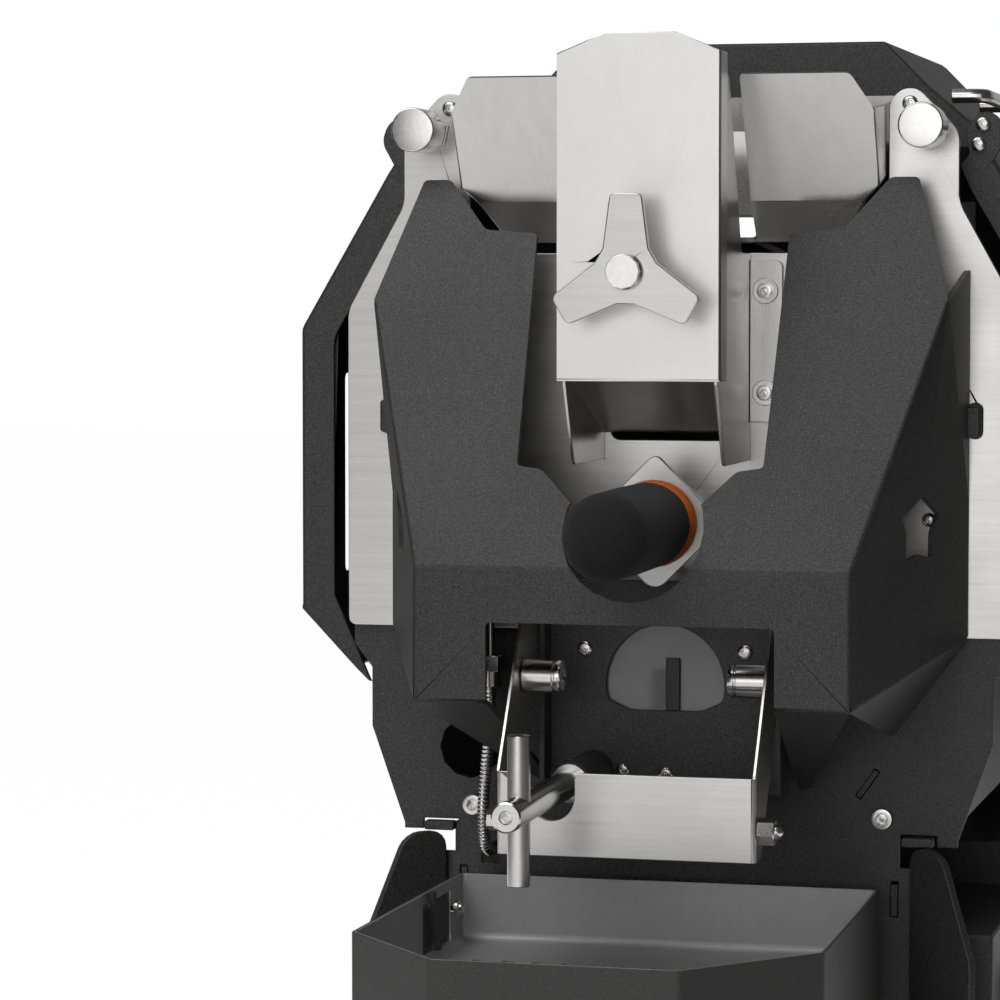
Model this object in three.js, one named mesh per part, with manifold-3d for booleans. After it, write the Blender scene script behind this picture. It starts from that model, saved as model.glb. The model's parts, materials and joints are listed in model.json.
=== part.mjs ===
// Countertop drum roaster for coffee beans, in millimetres, +Z up, front towards -Y.
// Heights of the head are measured from the lower edge of its stainless front plate.
import * as THREE from 'three';
import { mergeVertices } from 'three/addons/utils/BufferGeometryUtils.js';
import Module from 'manifold-3d';

const wasm = await Module();
wasm.setup();

// Driving dimensions
const sheet = 2;
const thinSheet = 1.2;
const seatGap = 0.3;
const runGap = 1;
const overrun = 5;
const roundSides = 24;
const smallSides = 12;

const desk = { footHeight: 8, footRadius: 9, plateLift: 176 };
const plate = {
  half: 124.4, shoulderHeight: 117, neckHalf: 102.7, neckHeight: 156, earHeight: 181,
  earTopOuter: 88, earTopInner: 82, earTop: 196.5, earInner: 77.5, earInnerHeight: 192,
  valleyHalf: 77.5, valleyHeight: 138,
};
const drum = {
  axisHeight: 58, radius: 78, wall: 1.5, front: 12, back: 180, shaftRadius: 6,
  vanes: 4, vaneDepth: 14, housingRadius: 90, housingBack: 190,
};
const shell = {
  front: 20, back: 262, flange: 13, lowHalf: 128, lowHeight: -18, sideHalf: 149, sideLow: 4, sideHigh: 110,
  shoulderHalf: 115, shoulderHeight: 168, topHalf: 109, topHeight: 177, lowEnd: [7, 7], topEnd: [9, 7],
  ventFront: 71.5, ventWidth: 14, ventPitch: 24, vents: 6, ventLow: 14, ventHigh: 92,
  lug: [[104, 172.4], [112, 170.6], [117.2, 180], [114.6, 186.6], [110.8, 189], [107.4, 188.6], [102, 182.6]],
};
const base = { half: 116, deckHeight: 86, ledgeHeight: 68.5, step: 120 };
const finishColour = { steel: 0xc9c7c3, satin: 0xe2e1de, black: 0x413f3f, dark: 0x2a2929, tray: 0x56524e,
  foam: 0x1c1c1c, orange: 0xd96a1c, glass: 0x6c7072, rubber: 0x222222, quartz: 0xe8e4dc, zinc: 0x9a9a98 };

// Turning three.js geometry into closed solids that can be cut and joined
const solidOf = (geometry) => {
  const bare = geometry.clone();
  bare.deleteAttribute('normal');
  bare.deleteAttribute('uv');
  const merged = mergeVertices(bare);
  return new wasm.Manifold(new wasm.Mesh({
    numProp: 3,
    vertProperties: new Float32Array(merged.attributes.position.array),
    triVerts: new Uint32Array(merged.index.array),
  }));
};
const geometryOf = (solid) => {
  const mesh = solid.getMesh();
  const geometry = new THREE.BufferGeometry();
  geometry.setAttribute('position', new THREE.BufferAttribute(new Float32Array(mesh.vertProperties), mesh.numProp));
  geometry.setIndex(new THREE.BufferAttribute(new Uint32Array(mesh.triVerts), 1));
  return geometry;
};
const cut = (body, ...tools) => geometryOf(tools.reduce((a, t) => a.subtract(solidOf(t)), solidOf(body)));
const join = (body, ...others) => geometryOf(others.reduce((a, t) => a.add(solidOf(t)), solidOf(body)));

// Basic shapes, each placed where it belongs
const block = (x0, x1, y0, y1, z0, z1) => new THREE.BoxGeometry(x1 - x0, y1 - y0, z1 - z0)
  .translate((x0 + x1) / 2, (y0 + y1) / 2, (z0 + z1) / 2);
const rodY = (radius, y0, y1, x, z, sides = smallSides) =>
  new THREE.CylinderGeometry(radius, radius, y1 - y0, sides).translate(x, (y0 + y1) / 2, z);
const rodX = (radius, x0, x1, y, z, sides = smallSides) =>
  new THREE.CylinderGeometry(radius, radius, x1 - x0, sides).rotateZ(Math.PI / 2).translate((x0 + x1) / 2, y, z);
const rodZ = (radius, z0, z1, x, y, sides = smallSides) =>
  new THREE.CylinderGeometry(radius, radius, z1 - z0, sides).rotateX(Math.PI / 2).translate(x, y, (z0 + z1) / 2);
const outline = (points) => new THREE.Shape(points.map(([a, b]) => new THREE.Vector2(a, b)));
const mirrored = (half) => [...half, ...half.slice().reverse().map(([x, z]) => [-x, z])];
const extrude = (points, depth) => new THREE.ExtrudeGeometry(outline(points), { depth, bevelEnabled: false });
// A flat sheet facing -Y, drawn as X and Z points, from yFront back by its thickness
const sheetXZ = (points, yFront, depth) => extrude(points, depth).rotateX(Math.PI / 2).translate(0, yFront + depth, 0);
// A flat sheet facing X, drawn as Y and Z points
const sheetYZ = (points, x0, depth) => extrude(points, depth)
  .applyMatrix4(new THREE.Matrix4().set(0, 0, 1, x0, 1, 0, 0, 0, 0, 1, 0, 0, 0, 0, 0, 1));
const turned = (profile, sides = roundSides) =>
  new THREE.LatheGeometry(profile.map(([r, h]) => new THREE.Vector2(r, h)), sides);

// A sheet folded along the edges that its flat panels share. Each panel lists its corners
// counter-clockwise as seen from the outer face, and the sheet grows inwards from that face.
function foldedSheet(corners, panels, thickness) {
  const names = Object.keys(corners);
  const points = names.map((n) => new THREE.Vector3(...corners[n]));
  const normals = names.map(() => []);
  const faces = [];
  const edges = new Map();
  for (const panel of panels) {
    const loop = panel.map((n) => names.indexOf(n));
    const normal = new THREE.Vector3();
    loop.forEach((a, i) => normal.add(points[a].clone().cross(points[loop[(i + 1) % loop.length]])));
    normal.normalize();
    const u = points[loop[1]].clone().sub(points[loop[0]]).normalize();
    const v = normal.clone().cross(u);
    const flat = loop.map((a) => new THREE.Vector2(points[a].dot(u), points[a].dot(v)));
    for (const [a, b, c] of THREE.ShapeUtils.triangulateShape(flat, [])) faces.push([loop[a], loop[b], loop[c]]);
    loop.forEach((a, i) => {
      normals[a].push(normal);
      edges.set(`${a}_${loop[(i + 1) % loop.length]}`, [a, loop[(i + 1) % loop.length]]);
    });
  }
  const inner = points.map((p, i) => {
    const sum = normals[i].reduce((s, n) => s.add(n), new THREE.Vector3());
    return p.clone().addScaledVector(sum, -thickness * normals[i].length / sum.lengthSq());
  });
  const count = points.length;
  const index = faces.flatMap(([a, b, c]) => [a, b, c, a + count, c + count, b + count]);
  for (const [a, b] of edges.values()) {
    if (!edges.has(`${b}_${a}`)) index.push(b, a, a + count, b, a + count, b + count);
  }
  const geometry = new THREE.BufferGeometry();
  geometry.setAttribute('position', new THREE.Float32BufferAttribute(
    [...points, ...inner].flatMap((p) => [p.x, p.y, p.z]), 3));
  geometry.setIndex(index);
  return geometry;
}
// The same corners mirrored left to right, with the panels turned so that they still face outwards
const mirrorSheet = (corners, panels) => [
  Object.fromEntries(Object.entries(corners).map(([n, [x, y, z]]) => [n, [-x, y, z]])),
  panels.map((p) => p.slice().reverse()),
];

const group = new THREE.Group();
const head = new THREE.Group();
head.position.z = desk.plateLift;
group.add(head);
function place(parent, name, geometry, colour, roughness, metalness) {
  const mesh = new THREE.Mesh(geometry, new THREE.MeshStandardMaterial({ color: colour, roughness, metalness }));
  mesh.name = name;
  parent.add(mesh);
  return mesh;
}
const steel = (parent, name, geometry) => place(parent, name, geometry, finishColour.steel, 0.35, 1);
const black = (parent, name, geometry) => place(parent, name, geometry, finishColour.black, 0.6, 0.1);

// Discharge gate: sizes shared by the door, the lever round it and its hinge lugs
const gate = { half: 44.2, low: -56, high: 20, front: -18, glassRadius: 21.8, glassZ: -17.6, glassLow: -27,
  glassFlat: 13, glassTurn: -0.27, leverFront: -84, leverHalf: 45.7, leverTop: -42, leverLow: -71,
  armKnee: -54, armKneeZ: 5, armTop: 24, armBack: -24, notchHalf: 8.2, notchLow: -59, hingeY: -30,
  hingeZ: 22, studY: -50, studZ: -12, studRadius: 6, studInner: 30, hingeRadius: 3 };

// Stainless front plate with its two ears, and the black frame plate behind and below it
const thumb = { x: 92.3, z: 182.5, radius: 8, hexRadius: 6.8, face: -26, hexDepth: 7, stud: 3 };
const charge = { holeHalf: 24, holeLow: 70, holeHigh: 92 };
const trier = { z: 42, tube: 6, flangeFront: -36, flangeHalfDiagonal: 25, flange: 2.5, flangeLow: 19.2,
  gripRadius: 15, gripFront: -124, ringBack: -40, ringTube: 2.2, scoopBack: 90, collar: 10.8 };
const tab = { x: 109, low: 72, high: 84, half: 2.5 };
const plateHalf = [[plate.half, 0], [plate.half, plate.shoulderHeight], [plate.neckHalf, plate.neckHeight],
  [plate.neckHalf, plate.earHeight], [plate.earTopOuter, plate.earTop], [plate.earTopInner, plate.earTop],
  [plate.earInner, plate.earInnerHeight], [plate.valleyHalf, plate.valleyHeight]];
const plateCuts = [block(-charge.holeHalf, charge.holeHalf, -overrun, overrun, charge.holeLow, charge.holeHigh),
  rodY(trier.tube + runGap, -overrun, overrun, 0, trier.z)];
for (const side of [-1, 1]) {
  plateCuts.push(rodY(thumb.stud + seatGap, -overrun, overrun, side * thumb.x, thumb.z));
  const tabX = side * tab.x;
  plateCuts.push(block(tabX - tab.half - seatGap, tabX + tab.half + seatGap, -overrun, overrun,
    tab.low - seatGap, tab.high + seatGap));
}

const frame = {
  front: sheet + seatGap, topHalf: 112, top: 30, half: 122.8, hip: -7, waistHalf: 116, waist: -16, low: -38,
  skirtHalf: 103.4, skirt: -74, skirtEnd: -76, notchHalf: 82.4, notch: -84, legHalf: 92,
};
const throat = { half: 34, low: -46, high: 15, front: -13, holeHalf: 30 };
const sideHole = { x: -78, z: -45, radius: 11.5 };
const slantSlot = [[75.2, -49.3], [73.2, -48], [66.1, -58.2], [68.1, -59.6]];
const edgeNotch = { inner: 82.4, outer: 96, top: -72 };
const sideSlot = { inner: 79, outer: 82, low: -102, high: -89 };
const probe = { x: -67.5, y: -9, hexRadius: 6.5, hexTop: -9, hexLow: -15, skirt: -21, skirtRadius: 4, stem: 2,
  stemTop: 18, cable: 1.9, rib: 2.5, ribPitch: 1.6, sway: -2.8,
  knots: [[0, 0, -14], [-1, -2, -29], [-2, -2, -45]], ends: [[2, -57], [8, -61.5], [17, -62], [29, -62]] };
const cableSlot = { x: probe.x + probe.sway, low: -88, high: -77, half: 3.4 };
plateCuts.push(block(-throat.half - seatGap, throat.half + seatGap, -overrun, overrun, -overrun,
  throat.high + seatGap));
const lug = { inner: gate.leverHalf + seatGap, thick: sheet, low: 14, high: 30, front: -36 };
const hingeLugs = [-1, 1].flatMap((side) => {
  const across = [side * lug.inner, side * (lug.inner + lug.thick)].sort((a, b) => a - b);
  const pin = [side * (gate.leverHalf - thinSheet), side * (lug.inner + lug.thick / 2)].sort((a, b) => a - b);
  return [block(...across, lug.front, sheet / 2, lug.low, lug.high),
    rodX(gate.hingeRadius, ...pin, gate.hingeY, gate.hingeZ)];
});
steel(head, 'front_plate', join(cut(sheetXZ(mirrored(plateHalf), 0, sheet), ...plateCuts), ...hingeLugs));
const frameBack = frame.front + sheet;
const frameFoot = desk.footHeight + runGap - desk.plateLift;
const framePoints = [[frame.topHalf, frame.top], [frame.topHalf, 0], [frame.half, 0], [frame.half, frame.hip],
  [frame.waistHalf, frame.waist], [frame.waistHalf, frame.low], [frame.skirtHalf, frame.skirt],
  [frame.skirtHalf, frame.skirtEnd], [frame.notchHalf, frame.skirtEnd], [frame.notchHalf, frame.notch],
  [frame.legHalf, frame.notch], [frame.legHalf, frameFoot]];
const damper = { x: -26, z: -49, radius: 5, tubeRadius: 7.2, tubeBack: -12, ringBack: -54, ring: 3, cap: -148,
  barY: -130, barRadius: 3.9, barHalf: 25.5 };
const frameWalls = join(sheetXZ(mirrored(framePoints), frame.front, sheet),
  cut(block(-throat.half, throat.half, throat.front, frameBack, throat.low, throat.high),
    block(-throat.half + sheet, throat.half - sheet, throat.front - overrun, frameBack + overrun,
      throat.low + sheet, throat.high - sheet)));
black(head, 'frame_plate', cut(frameWalls,
  block(-throat.half + sheet, throat.half - sheet, -overrun, frameBack + overrun,
    throat.low + sheet, throat.high - sheet),
  rodY(sideHole.radius, 0, frameBack + overrun, sideHole.x, sideHole.z),
  rodY(trier.tube + runGap, 0, frameBack + overrun, 0, trier.z),
  sheetXZ(slantSlot, 0, frameBack + overrun),
  ...[-1, 1].flatMap((side) => [
    block(...[side * edgeNotch.inner, side * edgeNotch.outer].sort((a, b) => a - b), 0, frameBack + overrun,
      frame.skirtEnd - overrun, edgeNotch.top),
    block(...[side * sideSlot.inner, side * sideSlot.outer].sort((a, b) => a - b), 0, frameBack + overrun,
      sideSlot.low, sideSlot.high)]),
  block(cableSlot.x - cableSlot.half, cableSlot.x + cableSlot.half, 0, frameBack + overrun,
    cableSlot.low, cableSlot.high)));

// Thumb screws on the ears
for (const [side, name] of [[-1, 'thumb_screw_left'], [1, 'thumb_screw_right']]) {
  const x = side * thumb.x;
  steel(head, name, join(rodY(thumb.radius, thumb.face, -thumb.hexDepth, x, thumb.z, roundSides),
    rodY(thumb.hexRadius, -thumb.hexDepth - runGap, -seatGap, x, thumb.z, 6),
    rodY(thumb.stud, -thumb.hexDepth, sheet + overrun, x, thumb.z)));
}

// Fascia: a folded black sheet standing in front of the plate on splayed side flanges
const fascia = {
  faceY: -79, bend: 28, boxHalf: 77, boxLow: -19, shoulderHalf: 104, shoulder: 121, earHalf: 90.5, ear: 164.6,
  earInner: 80.5, stepHalf: 65.3, step: 146.4, throatHalf: 46, throatTop: 145, cheekHalf: 43.9, cheek: 63.3,
  notchHalf: 34.7, notch: 62, arcHalf: 23.5, arc: 51, arcRadius: 25, topY: -15, windowHalf: 51,
  windowTop: 9.2, backHalf: 107, backTop: 132, backFold: 50, keelHalf: 80, keel: -36, lipTipHalf: 46,
  lipTipOuter: 50, lipTip: -56, backY: -1,
  port: { run: 48, spike: 14.3, top: 53, brow: 45.6, waist: 9.6, jaw: 39.6, foot: 30.5, notch: 32.3 },
};
const lean = (fascia.topY - fascia.faceY) / (fascia.ear - fascia.bend);
const onFace = (x, z) => [x, fascia.faceY + lean * Math.max(z - fascia.bend, 0), z];
const fasciaSide = {
  bend: onFace(fascia.boxHalf, fascia.bend),
  shoulder: onFace(fascia.shoulderHalf, fascia.shoulder),
  earOuter: onFace(fascia.earHalf, fascia.ear),
  earInner: onFace(fascia.earInner, fascia.ear),
  step: onFace(fascia.stepHalf, fascia.step),
  throat: onFace(fascia.throatHalf, fascia.throatTop),
  cheek: onFace(fascia.cheekHalf, fascia.cheek),
  notch: onFace(fascia.notchHalf, fascia.notch),
  arc: onFace(fascia.arcHalf, fascia.arc),
  boxLow: onFace(fascia.boxHalf, fascia.boxLow),
  windowLow: onFace(fascia.windowHalf, fascia.boxLow),
  windowTop: onFace(fascia.windowHalf, fascia.windowTop),
  backTop: [fascia.backHalf, fascia.backY, fascia.backTop],
  backFold: [fascia.backHalf, fascia.backY, fascia.backFold],
  backLow: [fascia.backHalf, fascia.backY, 0],
  keel: [fascia.keelHalf, fascia.backY, fascia.keel],
  lipTip: [fascia.lipTipHalf, fascia.backY, fascia.lipTip],
  lipTipOuter: [fascia.lipTipOuter, fascia.backY, fascia.lipTip],
};
const bothSides = (corners) => Object.fromEntries(Object.entries(corners).flatMap(([n, [x, y, z]]) =>
  [[`${n}R`, [x, y, z]], [`${n}L`, [-x, y, z]]]));
const right = (...names) => names.map((n) => `${n}R`);
const left = (...names) => names.map((n) => `${n}L`).reverse();
const fasciaFace = ['bend', 'shoulder', 'earOuter', 'earInner', 'step', 'throat', 'cheek', 'notch', 'arc'];
const fasciaLower = ['windowTop', 'windowLow', 'boxLow', 'bend'];
const fasciaPanels = [[...right(...fasciaFace), ...left(...fasciaFace)],
  [...right(...fasciaLower), ...left(...fasciaLower)]];
for (const side of [right, left]) {
  fasciaPanels.push(side('bend', 'boxLow', 'backLow', 'backFold'), side('bend', 'backFold', 'shoulder'),
    side('shoulder', 'backFold', 'backTop'), side('boxLow', 'keel', 'backLow'),
    side('boxLow', 'windowLow', 'lipTip', 'lipTipOuter'));
}
const fasciaTabs = [-1, 1].map((side) => block(side * tab.x - tab.half, side * tab.x + tab.half,
  fascia.backY - sheet, sheet, tab.low, tab.high));
// Pointed openings in both side flanges, drawn along the flange from its front fold
const { port } = fascia;
const portOutline = [[port.run - port.waist, port.foot], [port.run, port.notch], [port.run + port.waist, port.foot],
  [port.run + port.waist, port.jaw], [port.run + port.spike, port.brow], [port.run, port.top],
  [port.run - port.spike, port.brow], [port.run - port.waist, port.jaw]];
const fasciaPorts = [-1, 1].map((side) => {
  const along = new THREE.Vector3(side * (fascia.backHalf - fascia.boxHalf), fascia.backY - fascia.faceY, 0)
    .normalize();
  const up = new THREE.Vector3(0, 0, 1);
  const through = along.clone().cross(up);
  const start = new THREE.Vector3(side * fascia.boxHalf, fascia.faceY, 0).addScaledVector(through, -2 * overrun);
  return extrude(portOutline, 4 * overrun)
    .applyMatrix4(new THREE.Matrix4().makeBasis(along, up, through).setPosition(start));
});
black(head, 'fascia', join(cut(foldedSheet(bothSides(fasciaSide), fasciaPanels, sheet),
  rodY(fascia.arcRadius, fascia.faceY - overrun, 0, 0, trier.z, roundSides), ...fasciaPorts), ...fasciaTabs));

// Bean inlet: a stainless channel on the plate, its cover, and the butterfly flap on the knob's shaft
const channel = { half: 27.6, front: -62, low: 63, lowFront: -48, coverLow: 92, top: 200, flangeHalf: 39.5,
  flangeLow: 77, flangeHigh: 135.4, floorFront: 99, floorBack: 76.6, back: -seatGap, topBack: -42, knee: 138,
  kneeBack: -18 };
const cover = { front: -65, low: 93, side: 12, shoulder: 207, tip: 213.6, tipHalf: 13.1 };
const knob = { z: 131, shaft: 4, plateBack: -82, plate: 3, screwRadius: 6, screwDepth: 5, armLength: 27,
  armRoot: 8, armTip: 5.5, flapHalf: 25, flapFront: -58, flapBack: -10, flapHalfThick: 1 };
const channelSide = [[channel.front, channel.coverLow], [channel.front, channel.top],
  [channel.topBack, channel.top], [channel.kneeBack, channel.knee], [channel.back, channel.knee],
  [channel.back, channel.low], [channel.lowFront, channel.low]];
const floorPoints = [[channel.front, channel.floorFront], [channel.back, channel.floorBack - sheet],
  [channel.back, channel.floorBack - 2 * sheet], [channel.front, channel.floorFront - sheet]].reverse();
const channelFlange = (side) => block(...[side * (channel.half - thinSheet), side * channel.flangeHalf]
  .sort((a, b) => a - b), channel.back - sheet, channel.back, channel.flangeLow, channel.flangeHigh);
steel(head, 'charge_chute', cut(join(sheetYZ(channelSide.slice().reverse(), channel.half - thinSheet, thinSheet),
  sheetYZ(channelSide.slice().reverse(), -channel.half, thinSheet),
  sheetYZ(floorPoints, -channel.half, 2 * channel.half), channelFlange(1), channelFlange(-1),
  block(-channel.half, channel.half, channel.back - thinSheet, channel.back, charge.holeHigh, channel.knee)),
  rodY(knob.shaft + seatGap, -overrun, overrun, 0, knob.z)));
const coverHalf = channel.half + seatGap + thinSheet;
const coverPoints = mirrored([[coverHalf, cover.low], [coverHalf, cover.shoulder], [cover.tipHalf, cover.tip]]);
const coverSides = block(-coverHalf, coverHalf, cover.front, cover.front + cover.side, cover.low, cover.shoulder);
const coverHollow = block(-coverHalf + thinSheet, coverHalf - thinSheet, cover.front + thinSheet,
  cover.front + cover.side + overrun, cover.low - overrun, cover.shoulder + overrun);
place(head, 'chute_cover', cut(join(sheetXZ(coverPoints, cover.front, thinSheet), cut(coverSides, coverHollow)),
  rodY(knob.shaft + seatGap, cover.front - overrun, cover.front + overrun, 0, knob.z)), finishColour.satin, 0.3, 1);
const armPoints = [];
for (let arm = 0; arm < 3; arm++) {
  const turn = Math.PI / 2 + arm * Math.PI * 2 / 3;
  const point = (along, across) => [along * Math.cos(turn) - across * Math.sin(turn),
    knob.z + along * Math.sin(turn) + across * Math.cos(turn)];
  armPoints.push(point(knob.armRoot, -knob.armRoot), point(knob.armLength, -knob.armTip),
    point(knob.armLength, knob.armTip), point(knob.armRoot, knob.armRoot));
}
steel(head, 'charge_knob', cut(sheetXZ(armPoints, knob.plateBack - knob.plate, knob.plate),
  rodY(knob.shaft + seatGap, knob.plateBack - overrun, knob.plateBack + overrun, 0, knob.z)));
steel(head, 'charge_flap', join(rodY(knob.shaft, knob.plateBack - knob.plate - seatGap - overrun, -runGap, 0, knob.z),
  rodY(knob.screwRadius, knob.plateBack - knob.plate - seatGap - knob.screwDepth,
    knob.plateBack - knob.plate - seatGap, 0, knob.z),
  rodY(knob.screwRadius, knob.plateBack + seatGap, cover.front - seatGap, 0, knob.z),
  block(-knob.flapHalf, knob.flapHalf, knob.flapFront, knob.flapBack,
    knob.z - knob.flapHalfThick, knob.z + knob.flapHalfThick)));

// Hopper: front wings either side of the channel with a skirt folded back below them, side walls,
// a back wall and a sloping floor
const hopper = { skirtHalf: 62, skirtY: -1, skirt: 141.5, sillY: 4, sill: 150.5, lowHalf: 71.5, lowY: -13.4,
  low: 156.5, half: 76.7, hip: 161.4, wide: 188, topHalf: 68.9, topY: -36, top: 200.3, inner: 30, back: 84,
  floorBack: 184, backTop: 198 };
const wingLean = (hopper.topY - hopper.lowY) / (hopper.top - hopper.low);
const onWing = (x, z) => [x, hopper.lowY + wingLean * (z - hopper.low), z];
const hopperSide = {
  skirtInner: [hopper.inner, hopper.skirtY, hopper.skirt],
  skirt: [hopper.skirtHalf, hopper.skirtY, hopper.skirt],
  sill: [hopper.skirtHalf, hopper.sillY, hopper.sill],
  innerLow: onWing(hopper.inner, hopper.low),
  innerTop: onWing(hopper.inner, hopper.top),
  low: onWing(hopper.lowHalf, hopper.low),
  hip: onWing(hopper.half, hopper.hip),
  wide: onWing(hopper.half, hopper.wide),
  top: onWing(hopper.topHalf, hopper.top),
  backLow: [hopper.lowHalf, hopper.back, hopper.floorBack],
  backHip: [hopper.half, hopper.back, hopper.floorBack + sheet],
  backTop: [hopper.half, hopper.back, hopper.backTop],
};
const hopperPanels = [[...right('skirt', 'skirtInner'), ...left('skirt', 'skirtInner'), ...left('sill'),
  ...right('sill')],
[...right('sill'), ...left('sill'), ...left('backLow'), ...right('backLow')],
[...right('backTop', 'backHip', 'backLow'), ...left('backTop', 'backHip', 'backLow')]];
for (const side of [right, left]) {
  hopperPanels.push(side('innerLow', 'low', 'hip', 'wide', 'top', 'innerTop'),
    side('skirtInner', 'skirt', 'low', 'innerLow'), side('skirt', 'sill', 'low'),
    side('sill', 'backLow', 'low'), side('hip', 'backHip', 'backTop', 'wide'), side('low', 'backLow', 'backHip', 'hip'));
}
steel(head, 'hopper', foldedSheet(bothSides(hopperSide), hopperPanels, thinSheet));

// Trier: guide flange, tube with its scoop, foam grip and silicone ring
const flangeCut = trier.flangeHalfDiagonal - (trier.z - trier.flangeLow);
const diamond = [[trier.flangeHalfDiagonal, trier.z], [0, trier.z + trier.flangeHalfDiagonal],
  [-trier.flangeHalfDiagonal, trier.z], [-flangeCut, trier.flangeLow], [flangeCut, trier.flangeLow]];
const guideRadius = trier.tube + 2 * sheet + runGap;
steel(head, 'trier_flange', cut(join(sheetXZ(diamond, trier.flangeFront, trier.flange),
  rodY(guideRadius, trier.flangeFront, -seatGap, 0, trier.z)),
rodY(trier.tube + seatGap, trier.flangeFront - overrun, overrun, 0, trier.z)));
const collarFront = trier.ringBack - overrun;
steel(head, 'trier_tube', cut(join(rodY(trier.tube, collarFront, trier.scoopBack, 0, trier.z),
  rodY(trier.collar, collarFront, trier.flangeFront - seatGap, 0, trier.z, roundSides)),
  block(-trier.tube, trier.tube, drum.front + overrun, trier.scoopBack - overrun, trier.z, trier.z + 2 * trier.tube)));
const gripLength = collarFront - seatGap - trier.gripFront;
const gripDome = trier.gripRadius;
const gripProfile = [[0, 0]];
for (let i = 1; i <= 5; i++) {
  const turn = Math.PI / 2 * i / 5;
  gripProfile.push([Math.sin(turn) * trier.gripRadius, gripDome * (1 - Math.cos(turn)) / 2]);
}
gripProfile.push([trier.gripRadius, gripLength], [0, gripLength]);
place(head, 'trier_grip', turned(gripProfile).translate(0, trier.gripFront, trier.z), finishColour.foam, 0.95, 0);
place(head, 'trier_ring', new THREE.TorusGeometry(trier.collar + seatGap + trier.ringTube, trier.ringTube, 8,
  roundSides).rotateX(Math.PI / 2).translate(0, trier.flangeFront - seatGap - trier.ringTube, trier.z),
finishColour.orange, 0.5, 0);

// Discharge gate: door with its glass, the lever bracket round the latch, studs, and the latch tube
const glassSteps = 20;
const glassOutline = [[gate.glassFlat, gate.glassLow]];
for (let i = 0; i <= glassSteps; i++) {
  const turn = gate.glassTurn + (Math.PI - 2 * gate.glassTurn) * i / glassSteps;
  glassOutline.push([Math.cos(turn) * gate.glassRadius, gate.glassZ + Math.sin(turn) * gate.glassRadius]);
}
glassOutline.push([-gate.glassFlat, gate.glassLow]);
const doorFace = [[-gate.half, gate.low], [gate.half, gate.low], [gate.half, gate.high], [-gate.half, gate.high]];
black(head, 'gate_door', cut(join(sheetXZ(doorFace, gate.front, sheet),
  block(gate.half - sheet, gate.half, gate.front - 2 * overrun, gate.front + sheet, gate.low, gate.high),
  block(-gate.half, -gate.half + sheet, gate.front - 2 * overrun, gate.front + sheet, gate.low, gate.high)),
sheetXZ(glassOutline, gate.front - overrun, 2 * overrun)));
const paneHalf = gate.glassRadius + 2 * runGap;
place(head, 'sight_glass', block(-paneHalf, paneHalf, gate.front + sheet + seatGap, throat.front - seatGap,
  gate.glassLow - runGap, throat.high - sheet), finishColour.glass, 0.1, 0);
const lever = { frontTop: [gate.leverFront, gate.leverTop], frontLow: [gate.leverFront, gate.leverLow] };
const armPointsYZ = [lever.frontLow, [gate.leverFront + 2 * overrun, gate.leverLow], [gate.armBack, gate.armKneeZ],
  [gate.armBack, gate.armTop + overrun], [gate.hingeY - overrun, gate.armTop + overrun],
  [gate.armKnee, gate.armKneeZ], lever.frontTop];
const leverPlate = cut(block(-gate.leverHalf, gate.leverHalf, gate.leverFront, gate.leverFront + sheet,
  gate.leverLow, gate.leverTop),
block(damper.x - gate.notchHalf, damper.x + gate.notchHalf, gate.leverFront - overrun,
  gate.leverFront + overrun, gate.notchLow + gate.notchHalf, 0),
rodY(gate.notchHalf, gate.leverFront - overrun, gate.leverFront + overrun, damper.x, gate.notchLow + gate.notchHalf));
steel(head, 'gate_lever', cut(join(leverPlate, sheetYZ(armPointsYZ, gate.leverHalf - thinSheet, thinSheet),
  sheetYZ(armPointsYZ, -gate.leverHalf, thinSheet)),
rodX(gate.hingeRadius + seatGap, -2 * gate.half, 2 * gate.half, gate.hingeY, gate.hingeZ)));
for (const [side, name] of [[-1, 'gate_stud_left'], [1, 'gate_stud_right']]) {
  const ends = [side * gate.studInner, side * (gate.leverHalf - thinSheet - seatGap)].sort((a, b) => a - b);
  steel(head, name, rodX(gate.studRadius, ends[0], ends[1], gate.studY, gate.studZ, roundSides));
}
black(head, 'latch_tube', cut(rodY(damper.tubeRadius, damper.ringBack, gate.front - seatGap, damper.x, damper.z),
  rodY(damper.radius + seatGap, damper.ringBack - overrun, overrun, damper.x, damper.z)));
steel(head, 'latch_handle', join(rodY(damper.radius, damper.cap, gate.front - runGap, damper.x, damper.z, roundSides),
  rodY(damper.tubeRadius, damper.ringBack - seatGap - damper.ring, damper.ringBack - seatGap, damper.x, damper.z),
  rodZ(damper.barRadius, damper.z - damper.barHalf, damper.z + damper.barHalf, damper.x, damper.barY)));

// Probe: fitting under the fascia and its ribbed armoured cable down into the slot
steel(head, 'probe_fitting', join(rodZ(probe.hexRadius, probe.hexLow, probe.hexTop, probe.x, probe.y, 6),
  rodZ(probe.skirtRadius, probe.skirt, probe.hexLow, probe.x, probe.y),
  rodZ(probe.stem, probe.hexTop, probe.stemTop, probe.x, probe.y),
  rodY(probe.stem, probe.y, -seatGap, probe.x, probe.stemTop - probe.stem)));
const cableKnots = [[0, 0, -seatGap], ...probe.knots, ...probe.ends.map(([y, z]) => [probe.sway, y, z])];
const cableRoute = new THREE.CatmullRomCurve3(cableKnots.map(([x, y, z]) =>
  new THREE.Vector3(probe.x + x, probe.y + y, probe.skirt + z)));
const ribCount = Math.floor(cableRoute.getLength() / probe.ribPitch);
const ringSides = 8;
const cablePoints = [];
const cableIndex = [];
const cableFrames = cableRoute.computeFrenetFrames(2 * ribCount, false);
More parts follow.
